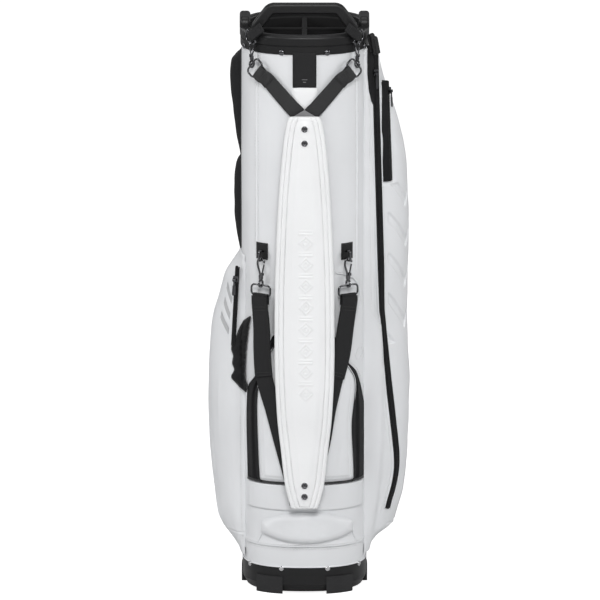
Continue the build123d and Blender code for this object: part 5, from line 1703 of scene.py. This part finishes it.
# ---- narrow black gusset beside the long zip, and a folded web loop at the cuff
v = np.linspace(46, 105, 24)
xl = np.interp(v, [46, 52, 75, 92, 105], [368.2, 367.0, 367.2, 368.6, 372.2])
cols = np.linspace(0, 1, 5)
spot = np.array([[seen_on(right0, x0 + (373.8 - x0) * c, q, 60.0, 80.0) for c in cols] for q, x0 in zip(v, xl)])
PG = right.at(spot[..., 0], spot[..., 1], 1.0)
gn = unit([0.55, -0.83, 0])
PG = PG + gn * (0.5 * np.sin(math.pi * cols) + 0.25 * np.sin(v / 3.1)[:, None] * np.sin(math.pi * cols))[..., None]
PG = np.concatenate([PG[:, :1] - gn * 3.0, PG, PG[:, -1:] - gn * 3.0], 1)
grid_object("right_side_gusset", PG, MESH, uv=np.stack([PG[..., 0], PG[..., 2]], -1) * 0.001, flip=False)
for dz, dx, ln in ((0, 0.0, 30), (6, 5.0, 24)):
    c = np.array([106.0 + dx, -44.0 + dx * 0.8, 900.0 - dz])
    out2 = unit([0.86, -0.5, 0])
    P, M = loop_path(c, unit([0.5, 0.86, 0]), np.array([0.18, 0.0, -1.0]), out2, 3.0, ln, ln - 4)
    ribbon("cuff_side_loop_%d" % dz, P, M, 12.0, 1.7, WEB, "bag")

# ---- upper webs
web_thread = Soup()
for side, s in (("left", -1), ("right", 1)):
    t = np.array([0.79, s * 0.61, 0.0])
    n = np.array([s * 0.61, -0.79, 0.0])
    inward = unit(t * -s * math.cos(math.radians(40)) + np.array([0, 0, -1.0]) * math.sin(math.radians(40)))
    bar = np.array([s * 84.0, -86.0, 863.0]) + inward * 17.0
    P, M = loop_path(bar, np.cross(n, inward), inward, n, 2.7, 7, 25)
    lift = 1.0 if s > 0 else 0.0
    st = [(60, 842, 7.4), (50, 831, 6.2), (40, 819.5, 5.6), (20, 797, 5.2 + lift), (8, 783.5, 4.6 + lift * 1.8), (0.5, 757, 4.2 + lift * 2.2)]
    pts = [front_at(s * np.array(x0), np.array(z0), o0) for x0, z0, o0 in st]
    nn = [front_at_n(s * np.array(x0), np.array(z0), o0) for x0, z0, o0 in st]
    cut = len(P) - 6
    tail = np.vstack([P[cut:], np.array(pts)])
    tail_n = np.vstack([M[cut:], np.array(nn)])
    Q = smooth_path(tail, 90)
    d = np.r_[0, np.cumsum(np.linalg.norm(np.diff(tail, axis=0), axis=1))]
    q = np.linspace(0, d[-1], 90)
    QN = unit(np.stack([np.interp(q, d, tail_n[:, k]) for k in range(3)], 1))
    # a copy of the tail behind, left where loop_path lays it and not used
    back_p = P[:6] + n * 0.0
    full = np.vstack([P[:cut], Q])
    full_n = np.vstack([M[:cut], QN])
    ribbon("upper_web_" + side, full, full_n, 24.5, 2.0, WEBUP, "strap", ("upper_webs",), ripple=0.15)
    for dist in (8.0, 11.0, 20.0, 23.0):
        c = bar + inward * dist + n * 3.9
        w = unit(np.cross(inward, n))
        f0 = np.interp(dist, [8, 23], [0, 1])
        base_pt = np.array([np.interp(dist, d, tail[:, k]) for k in range(3)])
        base_n = unit(np.array([np.interp(dist, d, tail_n[:, k]) for k in range(3)]))
        stitch(web_thread, np.array([base_pt - w * 10 + base_n * 1.15, base_pt + w * 10 + base_n * 1.15]), np.array([base_n, base_n]), 3.2, 2.4, 0.36)
web_thread.make("upper_web_stitches", DKTHREAD, "strap")
tri = []
for z, hw in ((794.5, 0.6), (792, 4.5), (789, 9.5), (786, 14.5), (783, 19.0), (780, 21.5), (776, 21.5)):
    xs = np.linspace(-hw, hw, 17)
    edge = np.minimum(1.0, (hw - np.abs(xs)) / 1.6)
    tri.append(front_at(xs, z + 0 * xs, 8.1 + 0.9 * edge + 0.25 * np.cos(xs / 4.0)))
tri = np.array(tri)
tri_uv = np.stack([tri[..., 0], tri[..., 2]], -1) * 0.001
grid_object("web_joint_backing", tri, GREYCLOTH, rides="strap", uv=tri_uv, flip=True)
hem = Soup()
for sg in (0, -1):
    tube(hem, smooth_path(tri[:, sg], 30), 0.9, sides=8)
hem.make("web_joint_backing_hem", WEB, "strap")

# ---- lower webs: doubled to z 358, then single to the back of the pad's foot
low_thread = Soup()
for side, s in (("left", -1), ("right", 1)):
    t = np.array([0.832, s * 0.555, 0.0])
    n = np.array([s * 0.555, -0.832, 0.0])
    down = np.array([0, 0, -1.0])
    bar = np.array([s * 69.7, -97.9, 488.2])
    P, M = loop_path(bar, t, down, n, 2.6, 8, 14)
    # the right web hangs a little further in than the left one
    xs = (67.8, 66.8, 63.0, 49.0, 36.8, 23.2, 12.5, 10.0) if s < 0 else (65.0, 58.5, 47.5, 36.5, 29.0, 18.0, 11.5, 9.5)
    ys = (103.3, 107.2, 110.0, 116.0, 118.6, 121.2, 123.4, 124.0) if s < 0 else (104.0, 112.2, 118.6, 120.4, 121.0, 121.9, 123.5, 124.0)
    tail = np.vstack([P[-6:], [(s * a, -b, c) for a, b, c in zip(xs, ys, (440, 395, 352, 305, 260, 210, 168, 152))]])
    tail_n = np.vstack([M[-6:], [unit((s * 0.45, -0.89, 0)), unit((s * 0.36, -0.93, 0)), unit((s * 0.3, -0.95, 0)),
                                 unit((s * 0.2, -0.98, 0)), unit((s * 0.1, -0.99, 0)), (0, -1, 0), (0, -1, 0), (0, -1, 0)]])
    Q = smooth_path(tail, 200)
    d = np.r_[0, np.cumsum(np.linalg.norm(np.diff(tail, axis=0), axis=1))]
    q = np.linspace(0, d[-1], 200)
    QN = unit(np.stack([np.interp(q, d, tail_n[:, k]) for k in range(3)], 1))
    full = np.vstack([P[:-6], Q])
    full_n = np.vstack([M[:-6], QN])
    sag = np.sin(np.linspace(0, math.pi, len(full)))
    a = ribbon("lower_web_" + side, full, full_n, 28.0, 1.9, WEB, None, (), ripple=0.2)
    # second layer in front, sewn down
    keep = (Q[:, 2] < 492) & (Q[:, 2] > 357)
    b = ribbon("lower_web_upper_layer_" + side, Q[keep] + QN[keep] * 2.0, QN[keep], 30.0, 1.9, WEB, None, (), ripple=0.2)
    th = Soup()
    kz = Q[keep]
    kn = QN[keep]
    T = tangents(kz)
    S = np.cross(T, kn)
    for e in (-12.6, 12.6):
        stitch(th, kz + kn * 3.1 + S * e, kn, 3.4, 2.5, 0.34)
    for zc in (361, 366, 470, 466):
        i = int(np.argmin(np.abs(kz[:, 2] - zc)))
        stitch(th, np.array([kz[i] + kn[i] * 3.1 - S[i] * 12, kz[i] + kn[i] * 3.1 + S[i] * 12]), np.array([kn[i], kn[i]]), 3.2, 2.4, 0.34)
    c = raw_mesh("lower_web_thread_" + side, np.concatenate(th.v), th.f)
    c.data.materials.append(DKTHREAD)
    c.data.shade_smooth()
    piece = join([a, b, c], "lower_web_" + side)
    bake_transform(piece)
    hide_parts("lower_webs", "lower_web_loops")

# ---- stitched bar tacks where the webs enter the pad's foot
foot = Soup()
for z in (151.0, 169.0):
    x = np.linspace(-9.5, 9.5, 12)
    stitch(foot, pad_pt(x, z + 0 * x, 7.7), np.repeat(PAD_N[None], 12, 0), 2.6, 2.0, 0.4)
foot.make("strap_foot_tacks", THREAD, "strap")

stitches.make("bag_stitches", THREAD, "bag")


# ================================================================= floor, light and camera
def plain(name, color, rough):
    return new_material(name, color, rough)[0]


fl = bpy.data.meshes.new("floor")
s = 30.0
fl.from_pydata([(-s, -s, 0), (s, -s, 0), (s, s, 0), (-s, s, 0)], [], [(0, 1, 2, 3)])
floor = bpy.data.objects.new("floor", fl)
bpy.context.scene.collection.objects.link(floor)
floor.data.materials.append(plain("pale_floor", (0.66, 0.66, 0.66), 0.9))
fb = floor.data.materials[0].node_tree.nodes["Principled BSDF"]
fb.inputs["Emission Color"].default_value = (1, 1, 1, 1)
fn = floor.data.materials[0].node_tree
only = fn.nodes.new("ShaderNodeLightPath")
fn.links.new(mathn(fn, "MULTIPLY", only.outputs["Is Camera Ray"], 0.85), fb.inputs["Emission Strength"])
floor.location.z = CAD_LO[2] - 0.0003


def area(name, loc, target, size, power, color=(1, 1, 1), size_y=None):
    li = bpy.data.lights.new(name, "AREA")
    li.energy = power
    li.size = size
    if size_y:
        li.shape = "RECTANGLE"
        li.size_y = size_y
    li.color = color
    ob = bpy.data.objects.new(name, li)
    ob.location = loc
    d = Vector(target) - Vector(loc)
    ob.rotation_euler = d.to_track_quat("-Z", "Y").to_euler()
    bpy.context.scene.collection.objects.link(ob)


area("key", (-3.4, -1.7, 2.8), (0, 0, 0.7), 1.3, 56)
area("fill_right", (3.6, -1.3, 2.4), (0, 0, 0.7), 1.3, 38)
area("front_high", (0.2, -3.8, 3.0), (0, 0, 0.85), 1.3, 94)
area("top", (0, 0.3, 3.6), (0, 0, 0.3), 1.4, 16)
area("rim_left", (-2.6, 2.4, 1.6), (0, 0, 0.5), 1.2, 12)
area("rim_right", (2.8, 2.2, 1.4), (0, 0, 0.5), 1.2, 12)

world = bpy.data.worlds.new("studio")
bpy.context.scene.world = world
world.use_nodes = True
wt = world.node_tree
bg = wt.nodes["Background"]
bg.inputs[0].default_value = (0.97, 0.98, 1.0, 1)
bg.inputs[1].default_value = 0.24
seen = wt.nodes.new("ShaderNodeBackground")
seen.inputs[0].default_value = (1, 1, 1, 1)
seen.inputs[1].default_value = 1.0
lp = wt.nodes.new("ShaderNodeLightPath")
mx = wt.nodes.new("ShaderNodeMixShader")
wt.links.new(lp.outputs["Is Camera Ray"], mx.inputs[0])
wt.links.new(bg.outputs[0], mx.inputs[1])
wt.links.new(seen.outputs[0], mx.inputs[2])
wt.links.new(mx.outputs[0], wt.nodes["World Output"].inputs[0])

cam_data = bpy.data.cameras.new("camera")
cam = bpy.data.objects.new("camera", cam_data)
bpy.context.scene.collection.objects.link(cam)
target = Vector((-0.0072, 0.0, 0.459))
el = math.radians(12.5)
dist = 40.0
cam.location = target + Vector((0, -dist * math.cos(el), dist * math.sin(el)))
cam.rotation_euler = (target - cam.location).to_track_quat("-Z", "Y").to_euler()
cam_data.sensor_width = 36.0
cam_data.lens = 1500.0
cam_data.clip_start = 1.0
cam_data.clip_end = 200
bpy.context.scene.camera = cam
bpy.context.scene.view_settings.view_transform = "Standard"
bpy.context.scene.view_settings.exposure = 0.0
